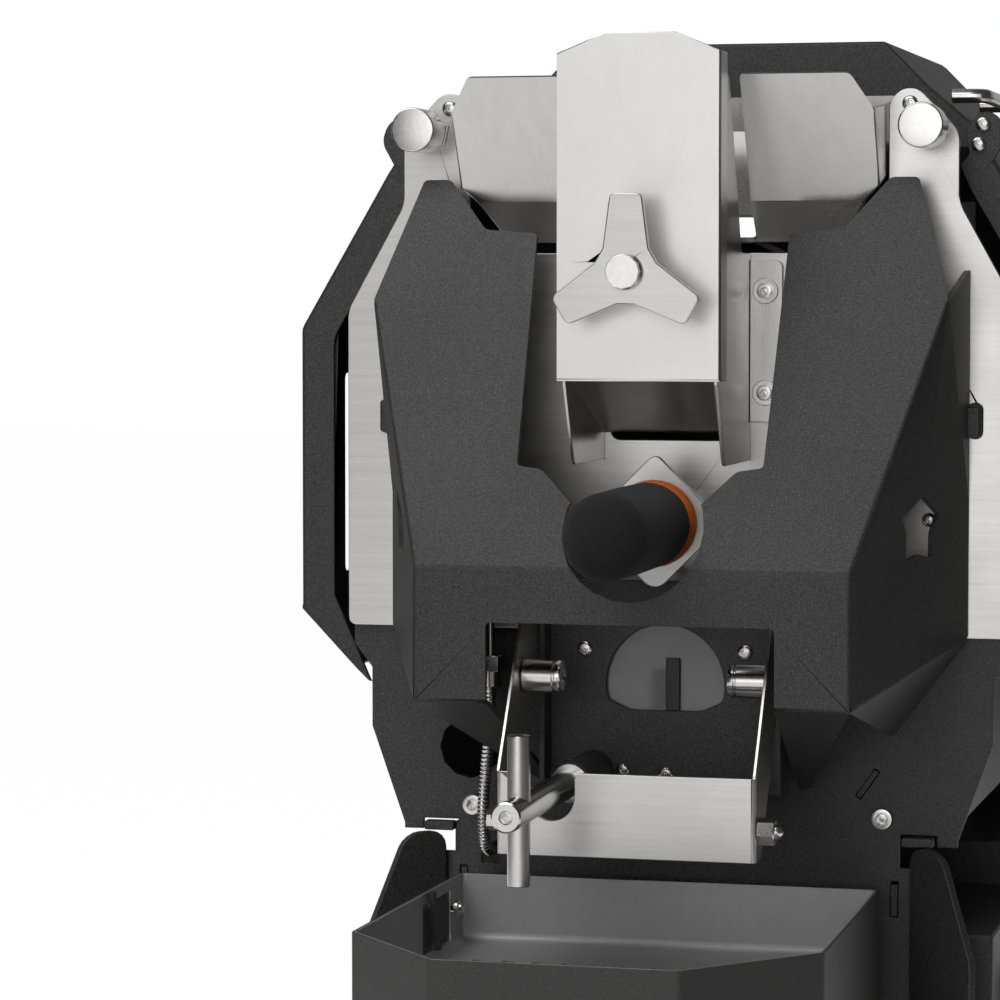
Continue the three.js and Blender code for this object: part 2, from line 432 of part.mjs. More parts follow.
for (let i = 0; i <= 2 * ribCount; i++) {
  const centre = cableRoute.getPointAt(i / (2 * ribCount));
  const radius = i % 2 ? probe.rib : probe.cable;
  for (let k = 0; k < ringSides; k++) {
    const turn = k * 2 * Math.PI / ringSides;
    cablePoints.push(...centre.clone().addScaledVector(cableFrames.normals[i], radius * Math.cos(turn))
      .addScaledVector(cableFrames.binormals[i], radius * Math.sin(turn)).toArray());
    if (i < 2 * ribCount) {
      const [a, b] = [i * ringSides + k, i * ringSides + (k + 1) % ringSides];
      cableIndex.push(a, b, a + ringSides, b, b + ringSides, a + ringSides);
    }
  }
}
const lastRing = 2 * ribCount * ringSides;
for (let k = 1; k < ringSides - 1; k++) {
  cableIndex.push(0, k + 1, k, lastRing, lastRing + k, lastRing + k + 1);
}
const cableGeometry = new THREE.BufferGeometry();
cableGeometry.setAttribute('position', new THREE.Float32BufferAttribute(cablePoints, 3));
cableGeometry.setIndex(cableIndex);
steel(head, 'probe_cable', cableGeometry);

// Drum with its vanes and shaft, the housing around it, the heater tubes and the rear bearing plate
const housing = { front: frameBack + seatGap, inner: drum.housingRadius - sheet };
const drumProfile = [[drum.radius, drum.front], [drum.radius, drum.back], [0, drum.back],
  [0, drum.back - drum.wall], [drum.radius - drum.wall, drum.back - drum.wall], [drum.radius - drum.wall, drum.front],
  [drum.radius, drum.front]];
const gear = { front: 200, depth: 8, module: 2, wheelTeeth: 36, pinionTeeth: 12, toothShare: 0.38, tipShare: 0.22,
  addendum: 0.9, dedendum: 1.15, meshGap: 0.5 };
const bearing = { front: drum.housingBack + seatGap, half: 84, top: 160, boss: 11, bossDepth: 5 };
const vaneParts = [];
for (let i = 0; i < drum.vanes; i++) {
  vaneParts.push(block(drum.radius - drum.vaneDepth, drum.radius - drum.wall / 2, drum.front + overrun,
    drum.back - drum.wall / 2, -drum.wall / 2, drum.wall / 2).rotateY(Math.PI * (1 / 4 + 2 * i / drum.vanes)));
}
const drumBody = join(turned(drumProfile, 36), ...vaneParts,
  rodY(drum.shaftRadius, drum.back - drum.wall / 2, gear.front + gear.depth + sheet, 0, 0));
steel(head, 'drum', drumBody.translate(0, 0, drum.axisHeight));
black(head, 'drum_housing', cut(join(rodY(drum.housingRadius, housing.front, drum.housingBack, 0, drum.axisHeight, 36)),
  rodY(housing.inner, housing.front - overrun, drum.housingBack - sheet, 0, drum.axisHeight, 36),
  rodY(drum.shaftRadius + seatGap, 0, shell.back, 0, drum.axisHeight)));
const heater = { radius: 3.2, turn: Math.PI * 0.28 };
for (const [side, name] of [[-1, 'heater_left'], [1, 'heater_right']]) {
  const ring = (drum.radius + housing.inner) / 2;
  place(head, name, rodY(heater.radius, housing.front + runGap, drum.housingBack - sheet - seatGap,
    side * Math.sin(heater.turn) * ring, drum.axisHeight - Math.cos(heater.turn) * ring, 8), finishColour.quartz, 0.2, 0);
}
const deck = base.deckHeight - desk.plateLift;
const bearingPlate = block(-bearing.half, bearing.half, bearing.front, bearing.front + sheet,
  deck + seatGap, bearing.top);
const boss = rodY(bearing.boss, bearing.front, bearing.front + bearing.bossDepth, 0, drum.axisHeight);
place(head, 'bearing_plate', cut(join(bearingPlate, boss),
  rodY(drum.shaftRadius + seatGap, 0, shell.back, 0, drum.axisHeight)), finishColour.zinc, 0.5, 0.8);

// Gear pair: the wheel on the drum shaft and the pinion on the motor below it
function gearOutline(teeth, phase) {
  const pitch = gear.module * teeth / 2;
  const step = 2 * Math.PI / teeth;
  const points = [];
  for (let i = 0; i < teeth; i++) {
    const middle = phase + i * step;
    for (const [share, radius] of [[-gear.toothShare, pitch - gear.module * gear.dedendum],
      [-gear.tipShare / 2, pitch + gear.module * gear.addendum],
      [gear.tipShare / 2, pitch + gear.module * gear.addendum],
      [gear.toothShare, pitch - gear.module * gear.dedendum]]) {
      points.push([Math.cos(middle + share * step) * radius, Math.sin(middle + share * step) * radius]);
    }
  }
  return points;
}
const gearDistance = gear.module * (gear.wheelTeeth + gear.pinionTeeth) / 2 + gear.meshGap;
const pinionZ = drum.axisHeight - gearDistance;
const wheelPhase = -Math.PI / 2;
const pinionPhase = Math.PI / 2 + Math.PI / gear.pinionTeeth;
place(head, 'drum_gear', cut(sheetXZ(gearOutline(gear.wheelTeeth, wheelPhase), gear.front, gear.depth),
  rodY(drum.shaftRadius + seatGap, 0, shell.back, 0, 0)).translate(0, 0, drum.axisHeight),
finishColour.zinc, 0.4, 0.9);
const motor = { radius: 18, front: gear.front + gear.depth + sheet + 2 * runGap, back: 256, shaft: 3, post: 3,
  postHalf: 22, flange: 3, flangeHalf: 27 };
place(head, 'motor_pinion', join(sheetXZ(gearOutline(gear.pinionTeeth, pinionPhase), gear.front, gear.depth),
  rodY(motor.shaft, gear.front + gear.depth / 2, motor.front - seatGap, 0, 0)).translate(0, 0, pinionZ),
finishColour.zinc, 0.4, 0.9);
const motorPosts = [-1, 1].map((side) => rodY(motor.post, bearing.front + sheet + seatGap,
  motor.front + motor.flange / 2, side * motor.postHalf, pinionZ));
place(head, 'gear_motor', join(rodY(motor.radius, motor.front, motor.back, 0, pinionZ, roundSides),
  block(-motor.flangeHalf, motor.flangeHalf, motor.front, motor.front + motor.flange, pinionZ - motor.radius / 2,
    pinionZ + motor.radius / 2), ...motorPosts), finishColour.dark, 0.5, 0.6);

// Outer shells: folded black guards at both sides with a flange towards the front
const shellSide = {};
const shellLine = [[shell.lowHalf, shell.lowHeight], [shell.sideHalf, shell.sideLow], [shell.sideHalf, shell.sideHigh],
  [shell.shoulderHalf, shell.shoulderHeight], [shell.topHalf, shell.topHeight]];
// Each corner of the flange lies inside the shell's corner, on the line that halves the fold there
const flangeLine = shellLine.map(([x, z], i) => {
  if (i === 0) return [x - shell.lowEnd[0], z - shell.lowEnd[1]];
  if (i === shellLine.length - 1) return [x - shell.topEnd[0], z - shell.topEnd[1]];
  const before = new THREE.Vector2(x - shellLine[i - 1][0], z - shellLine[i - 1][1]).normalize();
  const after = new THREE.Vector2(shellLine[i + 1][0] - x, shellLine[i + 1][1] - z).normalize();
  const inwards = new THREE.Vector2(-before.y - after.y, before.x + after.x);
  inwards.multiplyScalar(2 * shell.flange / inwards.lengthSq());
  return [x + inwards.x, z + inwards.y];
});
shellLine.forEach(([x, z], i) => {
  shellSide[`front${i}`] = [x, shell.front, z];
  shellSide[`back${i}`] = [x, shell.back, z];
  shellSide[`lip${i}`] = [flangeLine[i][0], shell.front, flangeLine[i][1]];
});
const shellPanels = [];
for (let i = 0; i < shellLine.length - 1; i++) {
  shellPanels.push([`front${i}`, `back${i}`, `back${i + 1}`, `front${i + 1}`],
    [`lip${i}`, `front${i}`, `front${i + 1}`, `lip${i + 1}`]);
}
const shellVents = (side) => Array.from({ length: shell.vents }, (_, i) => {
  const across = [side * (shell.sideHalf - overrun), side * (shell.sideHalf + overrun)].sort((a, b) => a - b);
  const front = shell.ventFront + i * shell.ventPitch;
  return block(...across, front, front + shell.ventWidth, shell.ventLow, shell.ventHigh);
});
// A lug stands up from the top end of each front flange
const shellLug = (side) => {
  const points = shell.lug.map(([x, z]) => [side * x, z]);
  return sheetXZ(side > 0 ? points : points.reverse(), shell.front, sheet);
};
black(head, 'right_shell', cut(join(foldedSheet(shellSide, shellPanels, sheet), shellLug(1)), ...shellVents(1)));
black(head, 'left_shell', cut(join(foldedSheet(...mirrorSheet(shellSide, shellPanels), sheet), shellLug(-1)),
  ...shellVents(-1)));
// Chassis walls between the frame plate and the rear cover, clear of the base's deck
const wall = { half: 100, low: -72, top: -20 };
for (const [side, name] of [[-1, 'chassis_wall_left'], [1, 'chassis_wall_right']]) {
  const across = [side * (wall.half - sheet), side * wall.half].sort((a, b) => a - b);
  black(head, name, block(...across, frameBack + seatGap, shell.back, wall.low, wall.top));
}

// Top cover with the exhaust fan on its post, and the faceted hood over it
const hood = { front: 100, back: shell.back, topHalf: 60.5, top: 219.7, kneeHalf: 76.5, knee: 203.3, lowHalf: 95,
  low: 187.4, footLow: 178 };
const top = { low: 176, half: 106, post: 5, postTop: 196, fanY: 180, fanRadius: 42, ventRadius: 34 };
const topLow = top.low;
const topHigh = topLow + sheet;
black(head, 'top_cover', join(cut(block(-top.half, top.half, shell.front + sheet + seatGap, shell.back - runGap,
  topLow, topHigh),
block(-hopper.half - runGap, hopper.half + runGap, 0, hopper.back + runGap, topLow - overrun, topHigh + overrun),
cut(rodZ(top.ventRadius, topLow - overrun, topHigh + overrun, 0, top.fanY, roundSides),
  block(-top.ventRadius, top.ventRadius, top.fanY - top.post, top.fanY + top.post, topLow - 2 * overrun,
    topHigh + 2 * overrun))),
rodZ(top.post, topLow + sheet / 2, top.postTop, 0, top.fanY)));
const hoodFace = mirrored([[hood.topHalf, hood.top], [hood.kneeHalf, hood.knee], [hood.lowHalf, hood.low],
  [hood.lowHalf, hood.footLow + seatGap]]);
const hoodInner = mirrored([[hood.topHalf - sheet / 2, hood.top - sheet], [hood.kneeHalf - sheet, hood.knee - sheet / 2],
  [hood.lowHalf - sheet, hood.low - sheet / 2], [hood.lowHalf - sheet, hood.footLow - overrun]]);
black(head, 'rear_hood', cut(sheetXZ(hoodFace, hood.front, hood.back - hood.front),
  sheetXZ(hoodInner, hood.front + sheet, hood.back + overrun)));
function impeller(outer, bore, low, high, blades) {
  const parts = [];
  for (let i = 0; i < blades; i++) {
    parts.push(block(bore + sheet, outer, -thinSheet / 2, thinSheet / 2, low + sheet / 2, high)
      .rotateZ(2 * Math.PI * i / blades));
  }
  return cut(join(rodZ(bore + 2 * sheet, low, high, 0, 0), rodZ(outer, low, low + sheet, 0, 0, roundSides), ...parts),
    rodZ(bore + seatGap, low - overrun, high + overrun, 0, 0));
}
place(head, 'exhaust_impeller', impeller(top.fanRadius - 2 * overrun, top.post, topHigh + seatGap,
  top.postTop - runGap, 7).translate(0, top.fanY, 0), finishColour.dark, 0.6, 0.2);
const carry = { radius: 2.8, out: 16, front: 112, back: 196, z: 199 };
const carryStart = hood.kneeHalf + (hood.knee - carry.z) * (hood.lowHalf - hood.kneeHalf) / (hood.knee - hood.low);
const carryPath = new THREE.CurvePath();
const carryCorners = [[carryStart + 2 * seatGap + carry.radius, carry.front], [carryStart + carry.out, carry.front],
  [carryStart + carry.out, carry.back], [carryStart + 2 * seatGap + carry.radius, carry.back]]
  .map(([x, y]) => new THREE.Vector3(x, y, carry.z));
const bend = (a, b, c, reach) => [b.clone().add(a.clone().sub(b).normalize().multiplyScalar(reach)), b,
  b.clone().add(c.clone().sub(b).normalize().multiplyScalar(reach))];
const carryBends = [bend(...carryCorners.slice(0, 3), 2 * carry.radius),
  bend(...carryCorners.slice(1), 2 * carry.radius)];
carryPath.add(new THREE.LineCurve3(carryCorners[0], carryBends[0][0]));
carryPath.add(new THREE.QuadraticBezierCurve3(...carryBends[0]));
carryPath.add(new THREE.LineCurve3(carryBends[0][2], carryBends[1][0]));
carryPath.add(new THREE.QuadraticBezierCurve3(...carryBends[1]));
carryPath.add(new THREE.LineCurve3(carryBends[1][2], carryCorners[3]));
const ringOf = (radius, sides) => outline(Array.from({ length: sides }, (_, i) =>
  [radius * Math.cos(2 * Math.PI * i / sides), radius * Math.sin(2 * Math.PI * i / sides)]));
steel(head, 'carry_handle', new THREE.ExtrudeGeometry(ringOf(carry.radius, 10),
  { extrudePath: carryPath, steps: 40, bevelEnabled: false }));

// Base: pan, stepped cover, front cheeks, feet, fan box, cooling fan, tray with its flap, chaff drawer
const panLow = desk.footHeight + seatGap;
const baseGroup = new THREE.Group();
group.add(baseGroup);
const rear = { front: shell.back + seatGap, back: shell.back + seatGap + sheet };
const coverFront = frameBack + seatGap;
place(baseGroup, 'base_pan', block(-base.half + sheet + seatGap, base.half - sheet - seatGap,
  coverFront + sheet + seatGap, shell.back, panLow, panLow + sheet), finishColour.zinc, 0.6, 0.7);
const dials = { y: 60, pitch: 40, count: 3, z: 36, radius: 11, depth: 13, stem: 3 };
const dialCuts = Array.from({ length: dials.count }, (_, i) =>
  rodX(dials.stem + seatGap, base.half - overrun, base.half + overrun, dials.y + i * dials.pitch, dials.z));
// The cover is a low ledge in front and steps up to the deck behind
const coverBody = (inset, front, step, back, low) => join(
  block(-base.half + inset, base.half - inset, front, back, low, base.ledgeHeight - inset),
  block(-base.half + inset, base.half - inset, step, back, base.ledgeHeight - inset - overrun,
    base.deckHeight - inset));
black(baseGroup, 'base_cover', cut(coverBody(0, coverFront, base.step, shell.back, panLow),
  coverBody(sheet, coverFront + sheet, base.step + sheet, shell.back + overrun, 0), ...dialCuts));
for (let i = 0; i < dials.count; i++) {
  place(baseGroup, `dial_${i + 1}`, join(rodX(dials.radius, base.half + runGap, base.half + dials.depth, 0, 0, roundSides),
    rodX(dials.stem, base.half - sheet, base.half + dials.depth / 2, 0, 0))
    .translate(0, dials.y + i * dials.pitch, dials.z), finishColour.dark, 0.5, 0);
}
const fan = { half: 78, front: -184, back: frame.front - seatGap, top: 38, centreY: -98, radius: 52, post: 5,
  chamfer: 38 };
const fanShape = (inset) => [[-fan.half + inset, fan.back - inset], [-fan.half + inset, fan.front + fan.chamfer],
  [-fan.half + fan.chamfer, fan.front + inset], [fan.half - fan.chamfer, fan.front + inset],
  [fan.half - inset, fan.front + fan.chamfer], [fan.half - inset, fan.back - inset]].reverse();
black(baseGroup, 'fan_box', join(cut(extrude(fanShape(0).reverse(), fan.top - panLow).translate(0, 0, panLow),
  extrude(fanShape(sheet).reverse(), fan.top).translate(0, 0, panLow + sheet)),
rodZ(fan.post, panLow, fan.top - runGap, 0, fan.centreY)));
place(baseGroup, 'cooling_impeller', impeller(fan.radius, fan.post, panLow + sheet + runGap, fan.top - 2 * runGap, 9)
  .translate(0, fan.centreY, 0), finishColour.dark, 0.6, 0.1);
const feet = [['foot_front_left', -1, -150, 52], ['foot_front_right', 1, -150, 52], ['foot_rear_left', -1, 240, 96],
  ['foot_rear_right', 1, 240, 96]];
for (const [name, side, y, x] of feet) {
  place(baseGroup, name, rodZ(desk.footRadius, 0, desk.footHeight, side * x, y), finishColour.rubber, 0.9, 0);
}
const cheek = { innerX: 88.4, outerX: 113, outerY: -19.5, innerTop: 100, outerTop: 62.5, thick: 3,
  front: frame.front - seatGap };
const cheekSide = {
  rootLow: [cheek.innerX, cheek.front, panLow],
  rootTop: [cheek.innerX, cheek.front, cheek.innerTop],
  kneeTop: [(cheek.innerX + cheek.outerX) / 2, (cheek.front + cheek.outerY) / 2, cheek.innerTop],
  tipTop: [cheek.outerX, cheek.outerY, cheek.outerTop],
  tipLow: [cheek.outerX, cheek.outerY, panLow],
};
const cheekPanel = [['rootLow', 'rootTop', 'kneeTop', 'tipTop', 'tipLow']];
black(baseGroup, 'cheek_right', foldedSheet(cheekSide, cheekPanel, cheek.thick));
black(baseGroup, 'cheek_left', foldedSheet(...mirrorSheet(cheekSide, cheekPanel), cheek.thick));

const tray = { backHalf: 78, sideHalf: 80, frontHalf: 41, back: -14, shoulder: -145, front: -189, rim: 86.5,
  low: fan.top + seatGap, floor: 60.5, wall: 1.5, hole: 2.6, pitch: 10.8, edge: 9,
  firstRow: -55 };
const traySection = (inset) => [[tray.backHalf - inset, tray.back - inset], [tray.sideHalf - inset, tray.shoulder],
  [tray.frontHalf, tray.front + inset]];
const trayShape = (inset) => {
  const half = traySection(inset);
  return [...half, ...half.slice().reverse().map(([x, y]) => [-x, y])].reverse();
};
const flap = { back: -30, front: -66, low: 64, high: 78, gap: 1, hingeZ: 80, pin: 1.5 };
const trayHollow = extrude(trayShape(tray.wall), tray.rim).translate(0, 0, tray.low - overrun);
const holes = [];
const rows = Math.floor((tray.firstRow - tray.front - tray.edge) / tray.pitch);
const columns = Math.floor((tray.backHalf - tray.edge) / tray.pitch);
for (let row = 0; row <= rows; row++) {
  for (let column = -columns; column < columns; column++) {
    const [x, y] = [(column + 1 / 2) * tray.pitch, tray.firstRow - row * tray.pitch];
    const slack = tray.frontHalf + (y - tray.front) * (tray.sideHalf - tray.frontHalf) / (tray.shoulder - tray.front);
    if (Math.abs(x) < Math.min(tray.backHalf, slack) - tray.edge) {
      holes.push(rodZ(tray.hole, tray.floor - overrun, tray.floor + overrun, x, y, 4));
    }
  }
}
const trayFloor = extrude(trayShape(tray.wall / 2), tray.wall).translate(0, 0, tray.floor);
const flapOpening = block(-tray.sideHalf - overrun, -tray.backHalf + overrun, flap.front, flap.back, flap.low,
  flap.hingeZ + flap.pin + flap.gap);
place(baseGroup, 'cooling_tray', cut(join(cut(extrude(trayShape(0), tray.rim - tray.low).translate(0, 0, tray.low),
  trayHollow), cut(trayFloor, ...holes)), flapOpening), finishColour.tray, 0.4, 0.9);
const flapX = -tray.backHalf - (tray.sideHalf - tray.backHalf) * (tray.back - (flap.front + flap.back) / 2)
  / (tray.back - tray.shoulder);
place(baseGroup, 'tray_flap', join(block(flapX - tray.wall / 2, flapX + tray.wall / 2, flap.front + flap.gap,
  flap.back - flap.gap, flap.low + flap.gap, flap.hingeZ),
rodY(flap.pin, flap.front + seatGap, flap.back - seatGap, flapX, flap.hingeZ)), finishColour.tray, 0.4, 0.9);

const drawer = { half: 60, front: 150, low: panLow + sheet + seatGap, high: 62, wall: thinSheet };
const rearFace = [[base.half, panLow - desk.plateLift], [base.half, deck], [shell.lowHalf, shell.lowHeight],
  [shell.sideHalf, shell.sideLow], [shell.sideHalf, shell.sideHigh], [shell.shoulderHalf, shell.shoulderHeight],
  [shell.topHalf, shell.topHeight], [hood.lowHalf, hood.low], [hood.kneeHalf, hood.knee], [hood.topHalf, hood.top]];
const inlet = { x: -84, z: 34, half: 12, high: 8, depth: 14 };
const rocker = { x: 86, z: 34, half: 6, high: 9, depth: 4 };
const rearCuts = [block(-drawer.half - runGap, drawer.half + runGap, 0, rear.back + overrun,
  drawer.low - runGap - desk.plateLift, drawer.high + runGap - desk.plateLift),
block(inlet.x - inlet.half - seatGap, inlet.x + inlet.half + seatGap, 0, rear.back + overrun,
  inlet.z - inlet.high - seatGap - desk.plateLift, inlet.z + inlet.high + seatGap - desk.plateLift),
block(rocker.x - rocker.half - seatGap, rocker.x + rocker.half + seatGap, 0, rear.back + overrun,
  rocker.z - rocker.high - runGap - desk.plateLift, rocker.z + rocker.high + runGap - desk.plateLift)];
const vent = { rows: 5, pitch: 9, half: 30, high: 4, low: 88 };
for (let i = 0; i < vent.rows; i++) {
  rearCuts.push(block(-vent.half, vent.half, 0, rear.back + overrun, vent.low + i * vent.pitch,
    vent.low + i * vent.pitch + vent.high));
}
black(head, 'rear_cover', cut(sheetXZ(mirrored(rearFace), rear.front, sheet), ...rearCuts));
place(baseGroup, 'power_inlet', block(inlet.x - inlet.half, inlet.x + inlet.half, rear.back - inlet.depth,
  rear.back + sheet, inlet.z - inlet.high, inlet.z + inlet.high), finishColour.dark, 0.5, 0);
place(baseGroup, 'power_rocker', join(block(-rocker.half, rocker.half, -rocker.depth, rocker.depth, -rocker.high,
  rocker.high)).translate(rocker.x, rear.front, rocker.z), finishColour.dark, 0.4, 0);
black(baseGroup, 'chaff_drawer', join(cut(block(-drawer.half, drawer.half, drawer.front, rear.back, drawer.low,
  drawer.high - drawer.wall),
block(-drawer.half + drawer.wall, drawer.half - drawer.wall, drawer.front + drawer.wall, rear.back - drawer.wall,
  drawer.low + drawer.wall, drawer.high + overrun)),
block(-drawer.half, drawer.half, rear.back - drawer.wall, rear.back + sheet, drawer.low, drawer.high)));
const reach = tray.front;
group.position.y = -(reach + rear.back + sheet) / 2;
export default group;
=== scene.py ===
"""Countertop drum roaster for coffee beans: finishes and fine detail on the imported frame."""

import json
import logging
import math
from dataclasses import dataclass, field
from enum import Enum

import bmesh
import bpy
import numpy as np
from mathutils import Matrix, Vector

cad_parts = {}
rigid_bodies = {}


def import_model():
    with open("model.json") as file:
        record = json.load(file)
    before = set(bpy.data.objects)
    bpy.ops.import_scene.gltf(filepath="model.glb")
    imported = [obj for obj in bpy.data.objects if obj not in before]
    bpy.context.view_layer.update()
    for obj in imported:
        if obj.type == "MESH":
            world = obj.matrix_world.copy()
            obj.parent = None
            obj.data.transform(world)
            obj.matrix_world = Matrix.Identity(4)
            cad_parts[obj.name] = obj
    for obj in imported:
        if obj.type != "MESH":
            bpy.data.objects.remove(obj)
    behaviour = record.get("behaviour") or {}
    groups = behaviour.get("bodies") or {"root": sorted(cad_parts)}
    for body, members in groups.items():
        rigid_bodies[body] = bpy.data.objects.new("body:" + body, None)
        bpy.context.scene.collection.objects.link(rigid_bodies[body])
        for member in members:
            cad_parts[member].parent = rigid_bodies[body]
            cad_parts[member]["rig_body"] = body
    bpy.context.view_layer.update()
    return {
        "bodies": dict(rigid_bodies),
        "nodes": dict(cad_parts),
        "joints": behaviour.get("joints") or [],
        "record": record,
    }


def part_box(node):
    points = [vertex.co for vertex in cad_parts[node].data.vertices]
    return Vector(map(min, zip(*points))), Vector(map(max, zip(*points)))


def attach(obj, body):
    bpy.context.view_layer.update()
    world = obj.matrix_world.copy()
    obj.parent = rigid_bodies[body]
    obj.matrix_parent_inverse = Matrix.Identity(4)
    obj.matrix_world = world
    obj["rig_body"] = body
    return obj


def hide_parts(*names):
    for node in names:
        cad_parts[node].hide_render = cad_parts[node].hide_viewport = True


LOG = logging.getLogger("roaster")
MM = 0.001
HEX_CORNER = 1.0774
CORE = 0.02
SCREW_SIDES, TURNED_SIDES, FOAM_SIDES = 36, 60, 72
MIX_SHARE, MIX_FIRST, MIX_SECOND, MIX_RESULT = 0, 6, 7, 2
Triple = tuple[float, float, float]
Pair = tuple[float, float]
Colour = Triple
Rows = list[Triple] | tuple[Triple, ...]
Grid = tuple[np.ndarray, list[tuple[int, ...]]]
Node = bpy.types.Node
Socket = bpy.types.NodeSocket


class Axis(Enum):
    """Directions that a turned piece or a screw head can point in."""

    FRONT = (0.0, -1.0, 0.0)
    BACK = (0.0, 1.0, 0.0)
    LEFT = (-1.0, 0.0, 0.0)
    RIGHT = (1.0, 0.0, 0.0)
    UP = (0.0, 0.0, 1.0)


# ---- Node helpers and shared effects -------------------------------------------------


class NodeSheet:
    """A node tree with short calls for adding nodes and joining their sockets."""

    def __init__(self, tree: bpy.types.NodeTree) -> None:
        """Starts with an empty tree."""
        self.tree = tree
        tree.nodes.clear()

    def add(self, kind: str, settings: dict | None = None, **inputs: object) -> Node:
        """Adds one node.

        Args:
            kind: the node's type after "ShaderNode".
            settings: attributes of the node.
            **inputs: socket names, with _ for a space, and a value or a socket for each.

        Returns:
            The node.
        """
        node = self.tree.nodes.new(f"ShaderNode{kind}")
        for name, value in (settings or {}).items():
            setattr(node, name, value)
        for name, value in inputs.items():
            self.put(node, name.replace("_", " "), value)
        return node

    def put(self, node: Node, name: str | int, value: object) -> None:
        """Sets an input to a value, or joins a socket to it.

        Args:
            node: the node.
            name: the input's name or number.
            value: a value, or another node's socket.
        """
        if isinstance(value, Socket):
            self.tree.links.new(value, node.inputs[name])
        else:
            node.inputs[name].default_value = value

    def math(self, operation: str, first: object, second: object = 0.0,
             clamp: bool = False) -> Socket:
        """Joins two values by one arithmetic step.

        Args:
            operation: the step's name.
            first: a value or a socket.
            second: a value or a socket.
            clamp: True where the result is kept between 0 and 1.

        Returns:
            The result's socket.
        """
        node = self.add("Math", {"operation": operation, "use_clamp": clamp})
        self.put(node, 0, first)
        self.put(node, 1, second)
        return node.outputs[0]

    def blend(self, share: object, first: Colour | Socket, second: Colour | Socket) -> Socket:
        """Mixes two colours.

        Args:
            share: how much of the second colour shows, a value or a socket.
            first: a colour or a socket.
            second: a colour or a socket.

        Returns:
            The mixed colour's socket.
        """
        node = self.add("Mix", {"data_type": "RGBA", "blend_type": "MIX"})
        self.put(node, MIX_SHARE, share)
        for number, colour in ((MIX_FIRST, first), (MIX_SECOND, second)):
            self.put(node, number, colour if isinstance(colour, Socket) else (*colour, 1.0))
        return node.outputs[MIX_RESULT]


@dataclass
class Effects:
    """Node groups that several finishes share, each made once."""

    made: dict[str, bpy.types.NodeTree] = field(default_factory=dict)
    band_scale: float = 0.13
    # These three settings make the mask of small spots that the powder coat paints as bright
    # glints, a painted highlight.
    glint_cycles: float = 1.7
    glint_rarity: float = 0.86
    glint_reach: float = 0.3
    cloud_range: Pair = (0.3, 0.7)

    def start(self, name: str, inputs: dict[str, tuple[str, object]],
              outputs: list[str]) -> tuple[NodeSheet, Node, Node]:
        """Makes an empty group with its sockets.

        Args:
            name: the group's name.
            inputs: socket names with their kinds and starting values.
            outputs: names of the values it puts out.

        Returns:
            The sheet, its input node and its output node.
        """
        tree = bpy.data.node_groups.new(name, "ShaderNodeTree")
        for label, (kind, value) in inputs.items():
            socket = tree.interface.new_socket(label, in_out="INPUT",
                                               socket_type=f"NodeSocket{kind}")
            if value is not None:
                socket.default_value = value
        for label in outputs:
            tree.interface.new_socket(label, in_out="OUTPUT", socket_type="NodeSocketFloat")
        sheet = NodeSheet(tree)
        source = tree.nodes.new("NodeGroupInput")
        target = tree.nodes.new("NodeGroupOutput")
        self.made[name] = tree
        return sheet, source, target

    def grain(self) -> bpy.types.NodeTree:
        """Hairlines of a brushed sheet: two noises stretched alike, one fine and one coarse.

        Returns:
            The group, which puts out Line for the fine noise and Band for the coarse one.
        """
        name = "hairline_grain"
        if name in self.made:
            return self.made[name]
        sheet, source, target = self.start(
            name, {"Place": ("Vector", None), "Cycles": ("Vector", None)}, ["Line", "Band"])
        stretched = sheet.add("VectorMath", {"operation": "MULTIPLY"})
        sheet.put(stretched, 0, source.outputs["Place"])
        sheet.put(stretched, 1, source.outputs["Cycles"])
        place = stretched.outputs[0]
        fine = sheet.add("TexNoise", Vector=place, Scale=1.0, Detail=3.0, Roughness=0.7)
        coarse = sheet.add("TexNoise", Vector=place, Scale=self.band_scale, Detail=2.0,
                           Roughness=0.5)
        sheet.put(target, "Line", fine.outputs[0])
        sheet.put(target, "Band", coarse.outputs[0])
        return self.made[name]

    def peel(self) -> bpy.types.NodeTree:
        """Texture of baked powder: soft worm-like bumps, and a mask of a few small spots where
        bright glints are painted.

        Returns:
            The group, which puts out the bumps' Height and the mask of the painted glints.
        """
        name = "powder_peel"
        if name in self.made:
            return self.made[name]
        sheet, source, target = self.start(
            name, {"Place": ("Vector", None), "Cycles": ("Float", 900.0)}, ["Height", "Glint"])
        place, cycles = source.outputs["Place"], source.outputs["Cycles"]
        bump = sheet.add("TexNoise", Vector=place, Scale=cycles, Detail=1.5, Roughness=0.5,
                         Distortion=0.6)
        cells = sheet.add("TexVoronoi", {"feature": "F1"}, Vector=place,
                          Scale=sheet.math("MULTIPLY", cycles, self.glint_cycles))
        chance = sheet.add("SeparateColor", Color=cells.outputs["Color"])
        # Rare spots near the cell centres: the mask of the painted glints.
        rare = sheet.math("GREATER_THAN", chance.outputs[0], self.glint_rarity)
        near = sheet.math("LESS_THAN", cells.outputs["Distance"], self.glint_reach)
        sheet.put(target, "Height", bump.outputs[0])
        sheet.put(target, "Glint", sheet.math("MULTIPLY", rare, near))
        return self.made[name]

    def clouds(self) -> bpy.types.NodeTree:
        """Broad soft marks left by wiping and handling.

        Returns:
            The group, which puts out a Cloud mask.
        """
        name = "handling_clouds"
        if name in self.made:
            return self.made[name]
        sheet, source, target = self.start(
            name, {"Place": ("Vector", None), "Cycles": ("Float", 25.0)}, ["Cloud"])
        broad = sheet.add("TexNoise", Vector=source.outputs["Place"],
                          Scale=source.outputs["Cycles"], Detail=4.0, Roughness=0.6,
                          Distortion=0.4)
        low, high = self.cloud_range
        ramp = sheet.add("MapRange", {"interpolation_type": "SMOOTHSTEP"},
                         Value=broad.outputs[0], From_Min=low, From_Max=high)
        sheet.put(target, "Cloud", ramp.outputs[0])
        return self.made[name]


EFFECTS = Effects()


